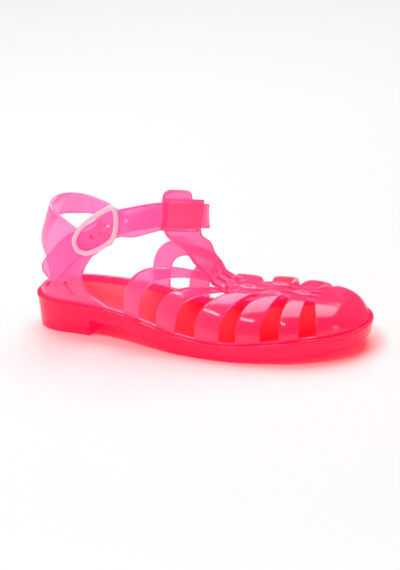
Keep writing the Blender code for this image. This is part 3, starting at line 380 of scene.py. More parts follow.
# Painted shade: the forefoot's grain is deeper red under the strips
forefoot_grain_painted_shade = add_node(tree, "ShaderNodeValToRGB", {"tones": ("#C40018", "#F0022C")}, Fac=grain.outputs["Value"])
tint, share = fade_forward(tree, place, heel_grain_painted_lit, forefoot_grain_painted_shade, -0.045, 0.0)
# Painted glow: red emission, stronger under the forefoot, stands in for light coming in through the sole's sides
glow = add_node(tree, "ShaderNodeMapRange", Value=share, To_Min=0.10, To_Max=0.32)
shader = add_node(tree, "ShaderNodeBsdfPrincipled", Base_Color=tint, Roughness=0.55, IOR=1.53,
                  Specular_IOR_Level=0.2, Normal=relief.outputs["Normal"], Emission_Color=srgb("#FF0430"),
                  Emission_Strength=glow.outputs["Result"])
add_node(tree, "ShaderNodeOutputMaterial", Surface=shader.outputs["BSDF"])
insole.data.materials.append(footbed_pvc)
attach(insole, "root")
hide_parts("insole")


# Upper: vamp strips, woven spine, T-bar with its bridge, heel cup and ankle strap, all one 2 mm moulding of pink
# translucent PVC that is dropped into the sole's channel. The ankle strap runs through the bridge to the buckle.

RIM_SHOW = 0.8
BASE_INSET = LIP_WIDTH + CLEARANCE
INSTEP_HEIGHT = 28.0
ANKLE_HEIGHT = 62.0
SPINE_WIDTH = 19.0
SPINE_TOE_WIDTH = 15.5
STRAND_GAP = 1.6
STRAND_EDGE = 0.9
WEAVE_RAISE = 0.75
STRIP_CROWN = 0.35
STRIP_SHOULDER = 0.3
SECTION_POWER = 2.7
INSTEP_SLOPE = 0.42
SLOPE_STATION = 0.31
LEVEL_STATION = 0.85
SPINE_SHARE = 0.44
SIDE_STEPS = 26
WINDOW_STEPS = 4
CAP_ROWS = 31
CROWN_FADE = 12
STRIPS = (
    # back foot, front foot, back top, front top, back ridge, front ridge
    (0.312, 0.366, 0.556, 0.571, 1.36, 1.18),
    (0.423, 0.482, 0.595, 0.611, 1.08, 1.00),
    (0.546, 0.621, 0.629, 0.678, 1.02, 0.97),
    (0.670, 0.740, 0.701, 0.756, 0.98, 0.97),
    (0.792, 0.847, 0.781, 0.829, 0.94, 0.90),
)
CAP = np.array((
    # row, foot, ridge station, ridge height
    (0, 0.893, 0.851, 0.890),
    (1, 0.915, 0.884, 0.872),
    (2, 0.935, 0.912, 0.835),
    (3, 0.952, 0.936, 0.775),
    (4, 0.965, 0.955, 0.690),
    (5, 0.975, 0.969, 0.590),
))


def base_point(s, side):
    """Where the upper's skin stands up out of the sole at station s."""
    return np.column_stack([outline(s, side, BASE_INSET), rim_height(s) + RIM_SHOW])


def ease(x):
    x = np.clip(x, 0, 1)
    return x * x * (3 - 2 * x)


# Rows of the vamp: for each one where it leaves the sole, where it meets the spine, its ridge height, its crown,
# which strands it lifts, and whether the windows between the strips start after it
across_strip = np.array([0.0, 0.12, 0.24, 0.38, 0.5, 0.62, 0.76, 0.88, 1.0])
row_list, window_after = [], []
for number, (back, front, back_top, front_top, back_ridge, front_ridge) in enumerate(STRIPS):
    t = across_strip
    crown = ease(np.minimum(t, 1 - t) / STRIP_SHOULDER)
    lifts = np.array([crown * ((k + number) % 2) for k in range(3)])
    row_list.append(np.column_stack([back + (front - back) * t, back_top + (front_top - back_top) * t,
                                     INSTEP_HEIGHT * (back_ridge + (front_ridge - back_ridge) * t), crown, *lifts]))
    window_after += [False] * (len(t) - 1)
    following = STRIPS[number + 1][::2] if number + 1 < len(STRIPS) else CAP[0, 1:]
    steps = np.linspace(0, 1, WINDOW_STEPS + 1)[1:-1, None]
    here = np.array([front, front_top, front_ridge * INSTEP_HEIGHT])
    there = np.array([following[0], following[1], following[2] * INSTEP_HEIGHT])
    row_list.append(np.column_stack([here + (there - here) * steps, np.zeros((len(steps), 4))]))
    window_after += [True] * (len(steps) + 1)
cap_at = np.linspace(0, len(CAP) - 1, CAP_ROWS)
row_list.append(np.column_stack([smooth_line(CAP, 1, cap_at), smooth_line(CAP, 2, cap_at),
                                 smooth_line(CAP, 3, cap_at) * INSTEP_HEIGHT, np.zeros((len(cap_at), 4))]))
window_after += [False] * len(cap_at)
rows = np.concatenate(row_list)
foot, top, ridge, crown = rows[:, 0], rows[:, 1], rows[:, 2], rows[:, 3]
narrowing = np.clip((top - STRIPS[0][2]) / (CAP[0, 2] - STRIPS[0][2]), 0, 1)
spine = SPINE_WIDTH + (SPINE_TOE_WIDTH - SPINE_WIDTH) * narrowing


def strand_columns(width):
    """Places across the spine for each width, with each strand's own 0 to 1 place: three strands, two gaps."""
    width = np.asarray(width, float)[..., None]
    strand = (width - 2 * STRAND_GAP) / 3
    inner = np.array([0.0, 0.5, 1.0, 1.5]) * STRAND_EDGE
    local = np.concatenate([inner + 0 * strand, strand / 2, (strand - inner)[..., ::-1]], -1)
    places = [local - strand / 2 + k * (strand + STRAND_GAP) for k in (-1, 0, 1)]
    edge = ease(np.minimum(local, strand - local) / (1.5 * STRAND_EDGE))
    return np.concatenate(places, -1), np.concatenate([edge] * 3, -1)


spine_places, strand_edge = strand_columns(spine)
PER_STRAND = spine_places.shape[1] // 3
lift = np.repeat(rows[:, 4:7], PER_STRAND, axis=1) * strand_edge * WEAVE_RAISE
centre, half = middle(top), spine / 2


def vamp_place(across, side):
    """Point of each row at a share of its half width: a superellipse across, moving forward on its way inward
    while its crest comes down the instep's slope, which fades out toward the toe."""
    end = base_point(foot, side)
    reach = np.abs(end[:, 1] - centre)[:, None]
    height = (1 - across**SECTION_POWER) ** (1 / SECTION_POWER)
    travel = np.clip((1 - across) / (1 - half[:, None] / reach), 0, 1)
    x = end[:, :1] + (top[:, None] * SOLE_LENGTH - end[:, :1]) * travel
    slope = INSTEP_SLOPE * np.clip((LEVEL_STATION - foot) / (LEVEL_STATION - SLOPE_STATION), 0, None)[:, None]
    crest = ridge[:, None] + slope * (top[:, None] * SOLE_LENGTH - x)
    return np.stack([x, centre[:, None] + side * reach * across, end[:, 2:] + (crest - end[:, 2:]) * height], -1)


# Grid of the vamp: the outer flank, the three strands of the spine with their weave, and the inner flank
flanks, spine_halves = [], []
for side in (-1, 1):
    reach = np.abs(base_point(foot, side)[:, 1] - centre)
    spine_halves.append(vamp_place(np.clip(np.abs(spine_places) / reach[:, None], 0, 1), side))
    u = np.linspace(0, 1, SIDE_STEPS + 1)[:-1]
    angle = np.pi / 2 + (np.arcsin(half / reach) - np.pi / 2)[:, None] * u
    swell = (STRIP_CROWN * crown)[:, None] * ease(u * CROWN_FADE)
    flank = vamp_place(np.sin(angle), side)
    flank += np.stack([0 * angle, side * np.sin(angle) * swell, np.cos(angle) * swell], -1)
    flanks.append(flank)
spine_grid = np.where((spine_places < 0)[..., None], *spine_halves)
spine_grid[..., 2] += lift
vamp = np.concatenate([flanks[0], spine_grid, flanks[1][:, ::-1]], 1)
columns = vamp.shape[1]
turn = np.concatenate([np.linspace(-1, -SPINE_SHARE, SIDE_STEPS + 1)[:-1],
                       SPINE_SHARE * spine_places[-1] / (spine[-1] / 2),
                       np.linspace(SPINE_SHARE, 1, SIDE_STEPS + 1)[1:]])
front_s, front_side = 1 - (1 - CAP[-1, 1]) * turn**2, np.where(turn < 0, -1.0, 1.0)
front_line = base_point(front_s, front_side)
toe_rows = vamp[-1] + (front_line - vamp[-1]) * np.array([0.5, 1.0])[:, None, None]
vamp_rows = np.concatenate([vamp, toe_rows])
cell = np.arange(columns - 1)
in_spine = (cell >= SIDE_STEPS) & (cell < columns - 1 - SIDE_STEPS)
in_gap = in_spine & ((cell - SIDE_STEPS) % PER_STRAND == PER_STRAND - 1)
open_cells = ~in_spine | in_gap
keep = np.ones((len(vamp_rows) - 1, columns - 1), bool)
keep[:len(window_after) - 1][np.array(window_after[:-1])] &= ~open_cells
vamp_quads = quads(vamp_rows)[keep.ravel()]

# T-bar, rising from the spine's end and turning to the flat plate over the ankle strap
TBAR_WIDTH = 20.0
TBAR_SAG = 1.4
SAG_WAY = np.array([0.3, 0.0, 1.0])
BRIDGE_WIDTH = 22.0
BRIDGE_WALL = 1.8
STRAP_WIDTH = 12.0
TOP_PLACE = np.array([0.468 * SOLE_LENGTH, -0.018 * BALL_WIDTH, 0.978 * ANKLE_HEIGHT])
PLATE_REACH = STRAP_WIDTH / 2 + CLEARANCE + BRIDGE_WALL
TBAR_ROWS = (
    # station, height, middle, turn toward the plate
    (0.532, 0.668, -0.040, 0.22),
    (0.507, 0.758, -0.028, 0.58),
)


def unit(v):
    return v / np.linalg.norm(v, axis=-1, keepdims=True)


plate_across = unit(np.array([0.50, 0.84, -0.25]))
plate_up = np.array([-0.13, 0.0, 1.0])
plate_up = unit(plate_up - plate_across * np.dot(plate_up, plate_across))
plate_out = np.cross(plate_across, plate_up)


def smooth_curve(points, steps, closed=False, places=None):
    """Cubic curve through the points: each tangent weighs its two spans by their lengths, so it never overshoots.
    The first values of a point, as many as places says, are its position; any others are carried along."""
    points = np.asarray(points, float)
    after = np.roll(points, -1, 0) if closed else points[1:]
    start = points[:len(after)]
    length = np.linalg.norm((after - start)[:, :places].reshape(len(after), -1), axis=1)
    length = length.reshape(-1, *[1] * (points.ndim - 1))
    slope = (after - start) / length
    if closed:
        tangent = (np.roll(slope, 1, 0) * length + slope * np.roll(length, 1, 0)) / (length + np.roll(length, 1, 0))
        tangent = np.concatenate([tangent, tangent[:1]])
    else:
        inner = (slope[:-1] * length[1:] + slope[1:] * length[:-1]) / (length[:-1] + length[1:])
        tangent = np.concatenate([slope[:1], inner, slope[-1:]])
    t = (np.arange(steps) / steps).reshape(1, -1, *[1] * (points.ndim - 1))
    curve = hermite(t, start[:, None], after[:, None], length[:, None], tangent[:-1, None], tangent[1:, None])
    curve = curve.reshape(-1, *points.shape[1:])
    return curve if closed else np.concatenate([curve, points[-1:]])


tbar_share = strand_columns(SPINE_WIDTH)[0] / SPINE_WIDTH
tbar_rows = [vamp[0, SIDE_STEPS:SIDE_STEPS + len(tbar_share)]]
for along, height, mid, turned in TBAR_ROWS:
    across = unit(np.array([0.0, 1.0, 0.0]) * (1 - turned) + plate_across * turned)
    point = np.array([along * SOLE_LENGTH, mid * BALL_WIDTH, height * ANKLE_HEIGHT])
    sag = TBAR_SAG * (1 - turned) * (2 * tbar_share[:, None]) ** 2
    tbar_rows.append(point + across * TBAR_WIDTH * tbar_share[:, None] - SAG_WAY * sag)
for rise in (-1.0, 0.0, 1.0):
    tbar_rows.append(TOP_PLACE + plate_up * rise * PLATE_REACH + plate_across * BRIDGE_WIDTH * tbar_share[:, None])
tbar_quads = quads(smooth_curve(tbar_rows, steps=7))

# Heel cup: a flat pattern with its back opening and slit, laid on the leaning wall that rises from the sole
QUARTER_LENGTH = 0.3023 * SOLE_LENGTH
LEAN_FADE = 0.198 * SOLE_LENGTH
SKIN_PITCH = 1.5
HEEL_LEAN = np.array((
    # height, forward lean over the ankle height, width factor
    (-0.010, 0.000, 1.00),
    (0.100, 0.012, 1.02),
    (0.377, 0.036, 1.05),
    (0.640, 0.040, 1.08),
    (0.862, 0.085, 1.07),
    (1.083, 0.145, 1.02),
))
OUTER_FRONT = ((0.905, 0.038), (0.800, 0.107), (0.742, 0.204), (0.733, 0.308), (0.757, 0.391), (0.851, 0.547))
OUTER_TAB = ((0.948, 0.633), (1.045, 0.716), (1.060, 0.820), (0.965, 0.979), (0.860, 0.896))
OUTER_TOP = ((0.750, 0.834), (0.650, 0.869), (0.550, 0.924), (0.400, 0.993), (0.200, 1.055))
OUTER_SLIT = ((0.646, 0.040), (0.688, 0.033), (0.612, 0.139), (0.548, 0.231), (0.524, 0.225), (0.580, 0.125))
INNER_BASE = 0.470
INNER_FRONT = ((0.460, 0.094), (0.560, 0.239), (0.690, 0.356), (0.800, 0.449), (0.880, 0.477))
STRAP_ROOT = ((0.975, 0.477), (0.945, 0.726))
INNER_TOP = ((0.860, 0.776), (0.728, 0.860), (0.542, 0.935), (0.329, 1.011), (0.133, 1.055))
CREST = ((0.0, 1.076),)
BACK_OPENING = (
    (-0.110, 0.062), (-0.230, 0.080), (-0.340, 0.121), (-0.385, 0.211), (-0.370, 0.350), (-0.310, 0.488),
    (-0.230, 0.585), (-0.110, 0.661), (0.000, 0.723), (0.121, 0.792), (0.385, 0.759), (0.600, 0.719),
    (0.680, 0.675), (0.600, 0.585), (0.480, 0.460), (0.370, 0.308), (0.310, 0.170), (0.220, 0.087), (0.110, 0.062))

# Running length of the base line from the heel's back to past the quarters, on each side, with its stations
QUARTERS_PAST = 0.45
girth = {}
for side in (-1, 1):
    s = np.concatenate([HEEL_ROUND * (1 - np.cos(np.linspace(0, np.pi / 2, 120))),
                        np.linspace(HEEL_ROUND, QUARTERS_PAST, 90)[1:]])
    steps = np.linalg.norm(np.diff(base_point(s, side)[:, :2], axis=0), axis=1)
    girth[side] = (np.concatenate([[0], np.cumsum(steps)]), s)


def station_at(t):
    """Station and side of the places at signed lengths t along the base line from the heel's back."""
    t = np.asarray(t, float)
    s = np.where(t >= 0, np.interp(np.abs(t), *girth[1]), np.interp(np.abs(t), *girth[-1]))
    return s, np.where(t >= 0, 1.0, -1.0)


def heel_wall(t, z):
    """Skin of the heel cup at t along the base line and z up: the base point, leaned forward most at the back and
    widened with height."""
    base = base_point(*station_at(t))
    share = (z - HEEL_RIM_HEIGHT) / (ANKLE_HEIGHT - HEEL_RIM_HEIGHT)
    lean = ANKLE_HEIGHT * smooth_line(HEEL_LEAN, 1, share) / (1 + (np.asarray(t) / LEAN_FADE) ** 2)
    return np.column_stack([base[:, 0] + lean, base[:, 1] * smooth_line(HEEL_LEAN, 2, share), z + 0 * base[:, 0]])


def wall_normal(t, z):
    """Outward direction of the heel wall, square to its slopes along and up."""
    t, z = np.atleast_1d(t).astype(float), np.atleast_1d(z).astype(float)
    up, along = heel_wall(t, z + 0.5) - heel_wall(t, z - 0.5), heel_wall(t + 0.5, z) - heel_wall(t - 0.5, z)
    return unit(np.cross(up, along))


def pattern(table):
    """Flat pattern places in millimetres from shares of the quarter's length and of the height over the rim."""
    table = np.asarray(table, float)
    return table * [QUARTER_LENGTH, ANKLE_HEIGHT - HEEL_RIM_HEIGHT] + [0.0, HEEL_RIM_HEIGHT]


def even_points(curve, pitch, closed=False):
    """Points a pitch apart along a polyline, by its running length; its ends are kept."""
    if closed:
        curve = np.concatenate([curve, curve[:1]])
    length = np.concatenate([[0], np.cumsum(np.linalg.norm(np.diff(curve, axis=0), axis=1))])
    count = max(int(round(length[-1] / pitch)), 1)
    at = np.linspace(0, length[-1], count + 1)
    points = np.column_stack([np.interp(at, length, curve[:, axis]) for axis in range(curve.shape[1])])
    return points[:-1] if closed else points


def base_line(end, side):
    t = np.linspace(0, end * QUARTER_LENGTH, int(end * QUARTER_LENGTH / SKIN_PITCH) + 1)
    s, _ = station_at(side * t)
    return np.column_stack([t, rim_height(s) + RIM_SHOW])


def run_through(*tables):
    return even_points(smooth_curve(np.concatenate(tables), steps=12), SKIN_PITCH)


def inside(points, polygon):
    """Whether each point is in the polygon: an odd number of its edges lie to the point's right."""
    a, b = polygon[None], np.roll(polygon, -1, 0)[None]
    x, y = points[:, None, 0], points[:, None, 1]
    rise = np.where(b[..., 1] == a[..., 1], 1e-12, b[..., 1] - a[..., 1])
    crossing = (b[..., 0] - a[..., 0]) * (y - a[..., 1]) / rise + a[..., 0]
    return (((a[..., 1] > y) != (b[..., 1] > y)) & (x < crossing)).sum(1) % 2 == 1


def distance_to(points, polygon):
    """Distance of each point from the polygon's nearest edge."""
    a = polygon[None]
    edge = np.roll(polygon, -1, 0)[None] - a
    share = np.clip(((points[:, None] - a) * edge).sum(-1) / np.maximum((edge**2).sum(-1), 1e-9), 0, 1)
    return np.linalg.norm(points[:, None] - a - edge * share[..., None], axis=-1).min(1)


# Outline of the flat pattern and its openings, filled with even triangles and then laid on the heel wall
LATTICE_REACH = 40
EDGE_ROOM = 0.55
SLIT_PITCH = 0.8
TOUCHING = 1e-3
flip = np.array([-1.0, 1.0])
root_low, root_high = pattern(STRAP_ROOT)
STRAP_CELLS = 8
strap_root = root_low + (root_high - root_low) * np.linspace(0, 1, STRAP_CELLS + 1)[:, None]
inner_base, outer_base = base_line(INNER_BASE, 1), base_line(1.0, -1)
inner_front = run_through(inner_base[-1:], pattern(INNER_FRONT))
inner_rise = even_points(np.stack([inner_front[-1], root_low]), SKIN_PITCH)[1:-1]
inner_edge = np.concatenate([inner_base, inner_front[1:], inner_rise, strap_root,
                             run_through(root_high[None], pattern(INNER_TOP), pattern(CREST))[1:]])
outer_front = run_through(outer_base[-1:], pattern(OUTER_FRONT))
tab = np.concatenate([outer_front[-1:], pattern(OUTER_TAB)])
tab_edge = np.concatenate([even_points(tab[i:i + 2], SKIN_PITCH)[1:] for i in range(len(tab) - 1)])
outer_edge = np.concatenate([outer_base, outer_front[1:], tab_edge,
                             run_through(tab[-1:], pattern(OUTER_TOP), pattern(CREST))[1:]])
heel_edge = np.concatenate([inner_edge, (outer_edge * flip)[-2:0:-1]])
heel_holes = [even_points(smooth_curve(pattern(BACK_OPENING), steps=12, closed=True), SKIN_PITCH, closed=True),
              even_points(smooth_curve(pattern(OUTER_SLIT) * flip, steps=8, closed=True), SLIT_PITCH, closed=True)]
rise = SKIN_PITCH * np.sqrt(3) / 2
row, col = np.meshgrid(np.arange(int(ANKLE_HEIGHT / rise)), np.arange(-LATTICE_REACH, LATTICE_REACH + 1),
                       indexing="ij")
lattice = np.column_stack([((col + 0.5 * (row % 2)) * SKIN_PITCH).ravel(), (inner_base[0, 1] + row * rise).ravel()])
lattice = lattice[inside(lattice, heel_edge)]
for loop in heel_holes:
    lattice = lattice[~inside(lattice, loop)]
for loop in [heel_edge] + heel_holes:
    lattice = lattice[distance_to(lattice, loop) > EDGE_ROOM * SKIN_PITCH]
cut_points, cut_edges = [], []
for loop in [heel_edge] + heel_holes:
    first = sum(len(p) for p in cut_points)
    cut_points.append(loop)
    cut_edges += [(first + i, first + (i + 1) % len(loop)) for i in range(len(loop))]
pattern_points = [Vector(p) for p in np.concatenate(cut_points + [lattice])]
flat, _, faces, *_ = delaunay_2d_cdt(pattern_points, cut_edges, [], 0, 1e-5)
flat = np.array([tuple(v) for v in flat])
triangles = flat[np.array([f for f in faces if len(f) == 3])]
centres = triangles.mean(1)
good = inside(centres, heel_edge) & ~inside(centres, heel_holes[0]) & ~inside(centres, heel_holes[1])
first_side, second_side = triangles[:, 1] - triangles[:, 0], triangles[:, 2] - triangles[:, 0]
good &= np.abs(first_side[:, 0] * second_side[:, 1] - first_side[:, 1] * second_side[:, 0]) > TOUCHING
triangles = triangles[good].reshape(-1, 2)
skin = heel_wall(triangles[:, 0], triangles[:, 1])
feet = base_point(*station_at(triangles[:, 0]))
skin = np.where((np.abs(triangles[:, 1] - feet[:, 2]) < TOUCHING)[:, None], feet, skin)
heel_triangles = skin.reshape(-1, 3, 3)

# Ankle strap: a flat band along a smooth path from the inner quarter through the bridge and the buckle
TAIL_LIFT = 0.35
FRAME_LENGTH = 31.0
FRAME_HEIGHT = 14.6
FRAME_TILT = 0.58
STRAP_LIFT = CLEARANCE + WALL
INNER_ROUTE = ((0.330, 0.345, 0.800), (0.430, 0.345, 0.866), (0.497, 0.262, 0.882))
BRIDGE_RUN = (1.1, 0.45, -0.45, -1.1)
UNDER_FRAME = ((-0.50, -0.16), (-0.25, 0.00), (0.00, 0.00), (0.28, 0.00))
TAIL_ROUTE = ((0.690, 0.682), (0.535, 0.516), (0.425, 0.370))
STRAP_TIP = ((0.12, 0.96), (0.22, 0.86), (0.31, 0.74), (0.37, 0.62), (0.41, 0.48), (0.43, 0.34))
HINGE = pattern((-0.987, 0.888))
hinge_skin, buckle_out = heel_wall(HINGE[:1], HINGE[1:])[0], wall_normal(HINGE[0], HINGE[1])[0]
heelward = np.array([-np.cos(FRAME_TILT), 0.0, -np.sin(FRAME_TILT)])
heelward = unit(heelward - buckle_out * np.dot(heelward, buckle_out))
upward = np.cross(heelward, buckle_out)
route = [(np.array([a * SOLE_LENGTH, m * BALL_WIDTH, h * ANKLE_HEIGHT]), np.array([0, 0, 1.0]))
         for a, m, h in INNER_ROUTE]
under_plate = TOP_PLACE - plate_out * (WALL + CLEARANCE)
route += [(under_plate + plate_across * BRIDGE_WIDTH / 2 * share, plate_up) for share in BRIDGE_RUN]
route += [(hinge_skin + buckle_out * STRAP_LIFT + heelward * FRAME_LENGTH * a + upward * STRAP_WIDTH * b, upward)
          for a, b in UNDER_FRAME]
for t, z in pattern(TAIL_ROUTE) * flip:
    tail_skin = heel_wall(np.array([t]), np.array([z]))[0]
    route.append((tail_skin + wall_normal(t, z)[0] * (STRAP_LIFT + TAIL_LIFT), upward))
root_skin = heel_wall(strap_root[:, 0], strap_root[:, 1])
stations = [np.append(root_skin[STRAP_CELLS // 2], unit(root_skin[-1] - root_skin[0]))]
stations += [np.append(point, up) for point, up in route]
path = smooth_curve(stations, steps=8, places=3)
strap_points, strap_ups = path[1:, :3], path[1:, 3:]
ahead = np.concatenate([path[2:, :3], path[-1:, :3]])
strap_forward = unit(ahead - path[:-1, :3])
strap_up = unit(strap_ups - strap_forward * (strap_ups * strap_forward).sum(1, keepdims=True))
strap_out = np.cross(strap_up, strap_forward)
shares = np.linspace(-0.5, 0.5, STRAP_CELLS + 1)[None, :, None]
strap_rows = strap_points[:, None] + strap_up[:, None] * STRAP_WIDTH * shares
reach, width = np.array(STRAP_TIP).T[:, :, None, None]
tip_rows = strap_points[-1] + (strap_forward[-1] * reach + strap_up[-1] * width * shares) * STRAP_WIDTH
strap_quads = quads(np.concatenate([root_skin[None], strap_rows, tip_rows]))

# Rim of the upper that stands in the channel between the sole's lip and the footbed
inner_s = np.concatenate([station_at(inner_base[:, 0])[0],
                          station_at(np.linspace(INNER_BASE * QUARTER_LENGTH, QUARTER_LENGTH, 20)[1:])[0]])
outer_s = station_at(-outer_base[1:, 0])[0]
between = np.linspace(outer_s[-1], foot[0], 5)[1:-1]
loop_s = np.concatenate([inner_s, between, foot, front_s[::-1], foot[::-1], between[::-1], outer_s[::-1],
                         inner_s[:1]])
loop_side = np.concatenate([np.ones(len(inner_s) + len(between) + len(foot)), front_side[::-1],
                            -np.ones(len(foot) + len(between) + len(outer_s)), [1.0]])
rim_high = base_point(loop_s, loop_side)
rim_low = np.column_stack([outline(loop_s, loop_side, BASE_INSET), rim_height(loop_s) - LIP_DEPTH + CLEARANCE])
rim_quads = quads(np.stack([rim_low, rim_high]))

# One 2 mm wall inside the skin of all these pieces, with its edges rounded as the mould's are
EDGE_BEVEL = 0.3
EDGE_ANGLE = 0.9
JOIN_ANGLE = 0.6
upper = weld("moulded_upper", [vamp_quads, tbar_quads, heel_triangles, strap_quads, rim_quads])
toe_face = max(upper.data.polygons, key=lambda face: face.center.x)
if toe_face.normal.x < 0:
    upper.data.flip_normals()
wall = upper.modifiers.new("wall", "SOLIDIFY")
wall.thickness = WALL / 1000
wall.offset = -1.0
edge = upper.modifiers.new("edge", "BEVEL")
edge.width = EDGE_BEVEL / 1000
edge.segments = 2
edge.limit_method = "ANGLE"
edge.angle_limit = EDGE_ANGLE
edge.use_clamp_overlap = False


def solid(name, corners, first, second, third, origin, low, high, bevel):
    """Prism with a plane outline, from low to high along the third direction, its edges rounded by a bevel."""
    corners = np.asarray(corners, float)
    rings = np.stack([origin + corners[:, :1] * first + corners[:, 1:] * second + third * depth
                      for depth in (low, high)])
    made = weld(name, [quads(rings, closed=True)])
    bm = bmesh.new()
    bm.from_mesh(made.data)
    bmesh.ops.holes_fill(bm, edges=bm.edges, sides=0)
    bmesh.ops.recalc_face_normals(bm, faces=bm.faces)
    if bevel:
        sharp = [e for e in bm.edges if e.calc_face_angle(0.0) > EDGE_ANGLE]
        bmesh.ops.bevel(bm, geom=sharp, offset=bevel / 1000, segments=2, affect="EDGES", profile=0.5)
    bm.to_mesh(made.data)
    bm.free()
    return made


def combine(piece, other, operation):
    """Adds another solid to the piece, or cuts it away, and removes the other."""
    modifier = piece.modifiers.new(other.name, "BOOLEAN")
    modifier.operation = operation
    modifier.solver = "EXACT"
    modifier.object = other
    settle(piece, JOIN_ANGLE)
    bpy.data.objects.remove(other, do_unlink=True)


def rod(centres, radius, sides):
    """Round bar along a polyline: rings square to its direction, turned as little as possible from one to the next,
    with its ends closed."""
    centres = np.asarray(centres, float)
    ahead = unit(np.gradient(centres, axis=0))
    side = unit(np.cross(ahead[0], [0.31, 0.87, 0.38]))
    rings = []
    for point, forward in zip(centres, ahead):
        side = unit(side - forward * np.dot(side, forward))
        turn = np.linspace(0, 2 * np.pi, sides + 1)[:-1, None]
        rings.append(point + radius * (np.cos(turn) * side + np.sin(turn) * np.cross(forward, side)))
    rings = np.array([0 * rings[0] + centres[0]] + rings + [0 * rings[-1] + centres[-1]])
    return quads(rings, closed=True)


# Channel of the bridge behind the plate, and the rounded end of the tongue that shows above it
TAB_STEP = 1.0
TAB_ROUND = 4.0
TAB_SHOWN = 4.0
TAB_LAP = 3.0
TAB_SHIFT = 1.5
PLATE_INSET = 0.6
SUNK = 0.2
slot_depth = WALL + 2 * CLEARANCE
tongue = -WALL - slot_depth
strap_slot = STRAP_WIDTH / 2 + CLEARANCE
bite, plate_edge, plate_half = -WALL / 2, PLATE_REACH - SUNK, BRIDGE_WIDTH / 2 - PLATE_INSET
channel = [(bite, -plate_edge), (bite, -strap_slot), (tongue, -strap_slot), (tongue, strap_slot), (bite, strap_slot),
           (bite, plate_edge), (tongue - WALL, plate_edge), (tongue - WALL, -plate_edge)]
combine(upper, solid("bridge_channel", channel, plate_out, plate_up, plate_across, TOP_PLACE, -plate_half,
                     plate_half, bevel=0.25), "UNION")
tab_half, tab_head = TBAR_WIDTH / 2 - TAB_STEP, PLATE_REACH + TAB_SHOWN
corner = np.linspace(0, np.pi / 2, 9)
tab_outline = [(-tab_half, PLATE_REACH - TAB_LAP), (tab_half, PLATE_REACH - TAB_LAP)]
for middle_x, start in ((tab_half - TAB_ROUND, 0.0), (TAB_ROUND - tab_half, np.pi / 2)):
    tab_outline += [(middle_x + TAB_ROUND * np.cos(start + a), tab_head + TAB_ROUND * (np.sin(start + a) - 1))
                    for a in corner]
combine(upper, solid("tongue_end", tab_outline, plate_across, plate_up, plate_out,
                     TOP_PLACE - plate_across * TAB_SHIFT, tongue - WALL + SUNK, tongue - SUNK, bevel=EDGE_BEVEL),
        "UNION")

# Knuckle on the end of the outer tab, bored for the hinge bar and notched for the prong's eye
KNUCKLE = 4.0
KNUCKLE_WIDTH = 9.0
HINGE_BAR = 1.7
PRONG_EYE_WIDTH = 2.0
PRONG_EYE_WALL = 0.6
hinge_centre = hinge_skin - buckle_out * KNUCKLE / 2
span = upward * KNUCKLE_WIDTH / 2
combine(upper, weld("knuckle", [rod([hinge_centre - span, hinge_centre + span], KNUCKLE / 2, sides=28)]), "UNION")
span = upward * (KNUCKLE_WIDTH / 2 + WALL)
bore = HINGE_BAR / 2 + CLEARANCE
combine(upper, weld("knuckle_bore", [rod([hinge_centre - span, hinge_centre + span], bore, sides=20)]), "DIFFERENCE")
notch_half, notch_end = PRONG_EYE_WIDTH / 2 + CLEARANCE, KNUCKLE / 2 + PRONG_EYE_WALL
notch = [(-KNUCKLE, -notch_half), (notch_end, -notch_half), (notch_end, notch_half), (-KNUCKLE, notch_half)]
combine(upper, solid("notch", notch, heelward, upward, buckle_out, hinge_skin, -KNUCKLE - WALL / 2, CLEARANCE / 3,
                     bevel=0), "DIFFERENCE")

# Holes of the strap, the middle one where the prong comes through
PRONG_REACH = 5.4
HOLE_PITCH = 5.6
HOLE_RADIUS = 1.1
HOLE_OVERCUT = 0.15
length = np.concatenate([[0], np.cumsum(np.linalg.norm(np.diff(strap_points, axis=0), axis=1))])
target = hinge_skin + buckle_out * STRAP_LIFT - heelward * PRONG_REACH
nearest = int(np.argmin(np.linalg.norm(strap_points - target, axis=1)))
middle_hole = length[nearest] + np.dot(target - strap_points[nearest], strap_forward[nearest])
pins = []
for k in (-2, -1, 0, 1, 2):
    at = middle_hole + k * HOLE_PITCH
    point = np.array([np.interp(at, length, strap_points[:, axis]) for axis in range(3)])
    out = unit(np.array([np.interp(at, length, strap_out[:, axis]) for axis in range(3)]))
    pins.append(rod([point - out * (WALL + HOLE_OVERCUT), point + out * WALL / 2], HOLE_RADIUS, sides=24))
combine(upper, weld("strap_holes", pins), "DIFFERENCE")

# Injection-moulded translucent PVC in a 2 mm wall: about three quarters of the light goes through, and the rest is
# scattered back. Its pink is partly painted light: a pale lilac pink round the ankle, painted for the backlight
# shining through it, going to a deeper pink toward the toe, painted for the red sole and footbed showing through it,
# and a faint painted pink glow (emission) lightens it all. The polished mould leaves a soft gloss with faint flow
# ripples.
upper_pvc, tree, place = new_material("translucent_pvc_thin_moulding")
flow = add_node(tree, "ShaderNodeTexNoise", Vector=place, Scale=180.0, Detail=2.0, Roughness=0.5)
relief = add_node(tree, "ShaderNodeBump", Height=flow.outputs["Fac"], Strength=0.10, Distance=0.0003)
haze = add_node(tree, "ShaderNodeTexNoise", Vector=place, Scale=60.0, Detail=2.0, Roughness=0.5)
# Painted light: paler lilac pink round the ankle, for the backlight shining through the wall
ankle_backlit_painted_tone = add_node(tree, "ShaderNodeValToRGB", {"tones": ("#FF9EDC", "#FFAEE6")}, Fac=haze.outputs["Fac"])
# Painted light: deeper pink toward the toe, for the red sole and footbed showing through the wall
toe_showthrough_painted_tone = add_node(tree, "ShaderNodeValToRGB", {"tones": ("#FF4490", "#FF509A")}, Fac=haze.outputs["Fac"])
tint, _ = fade_forward(tree, place, ankle_backlit_painted_tone, toe_showthrough_painted_tone, -0.05, 0.06)
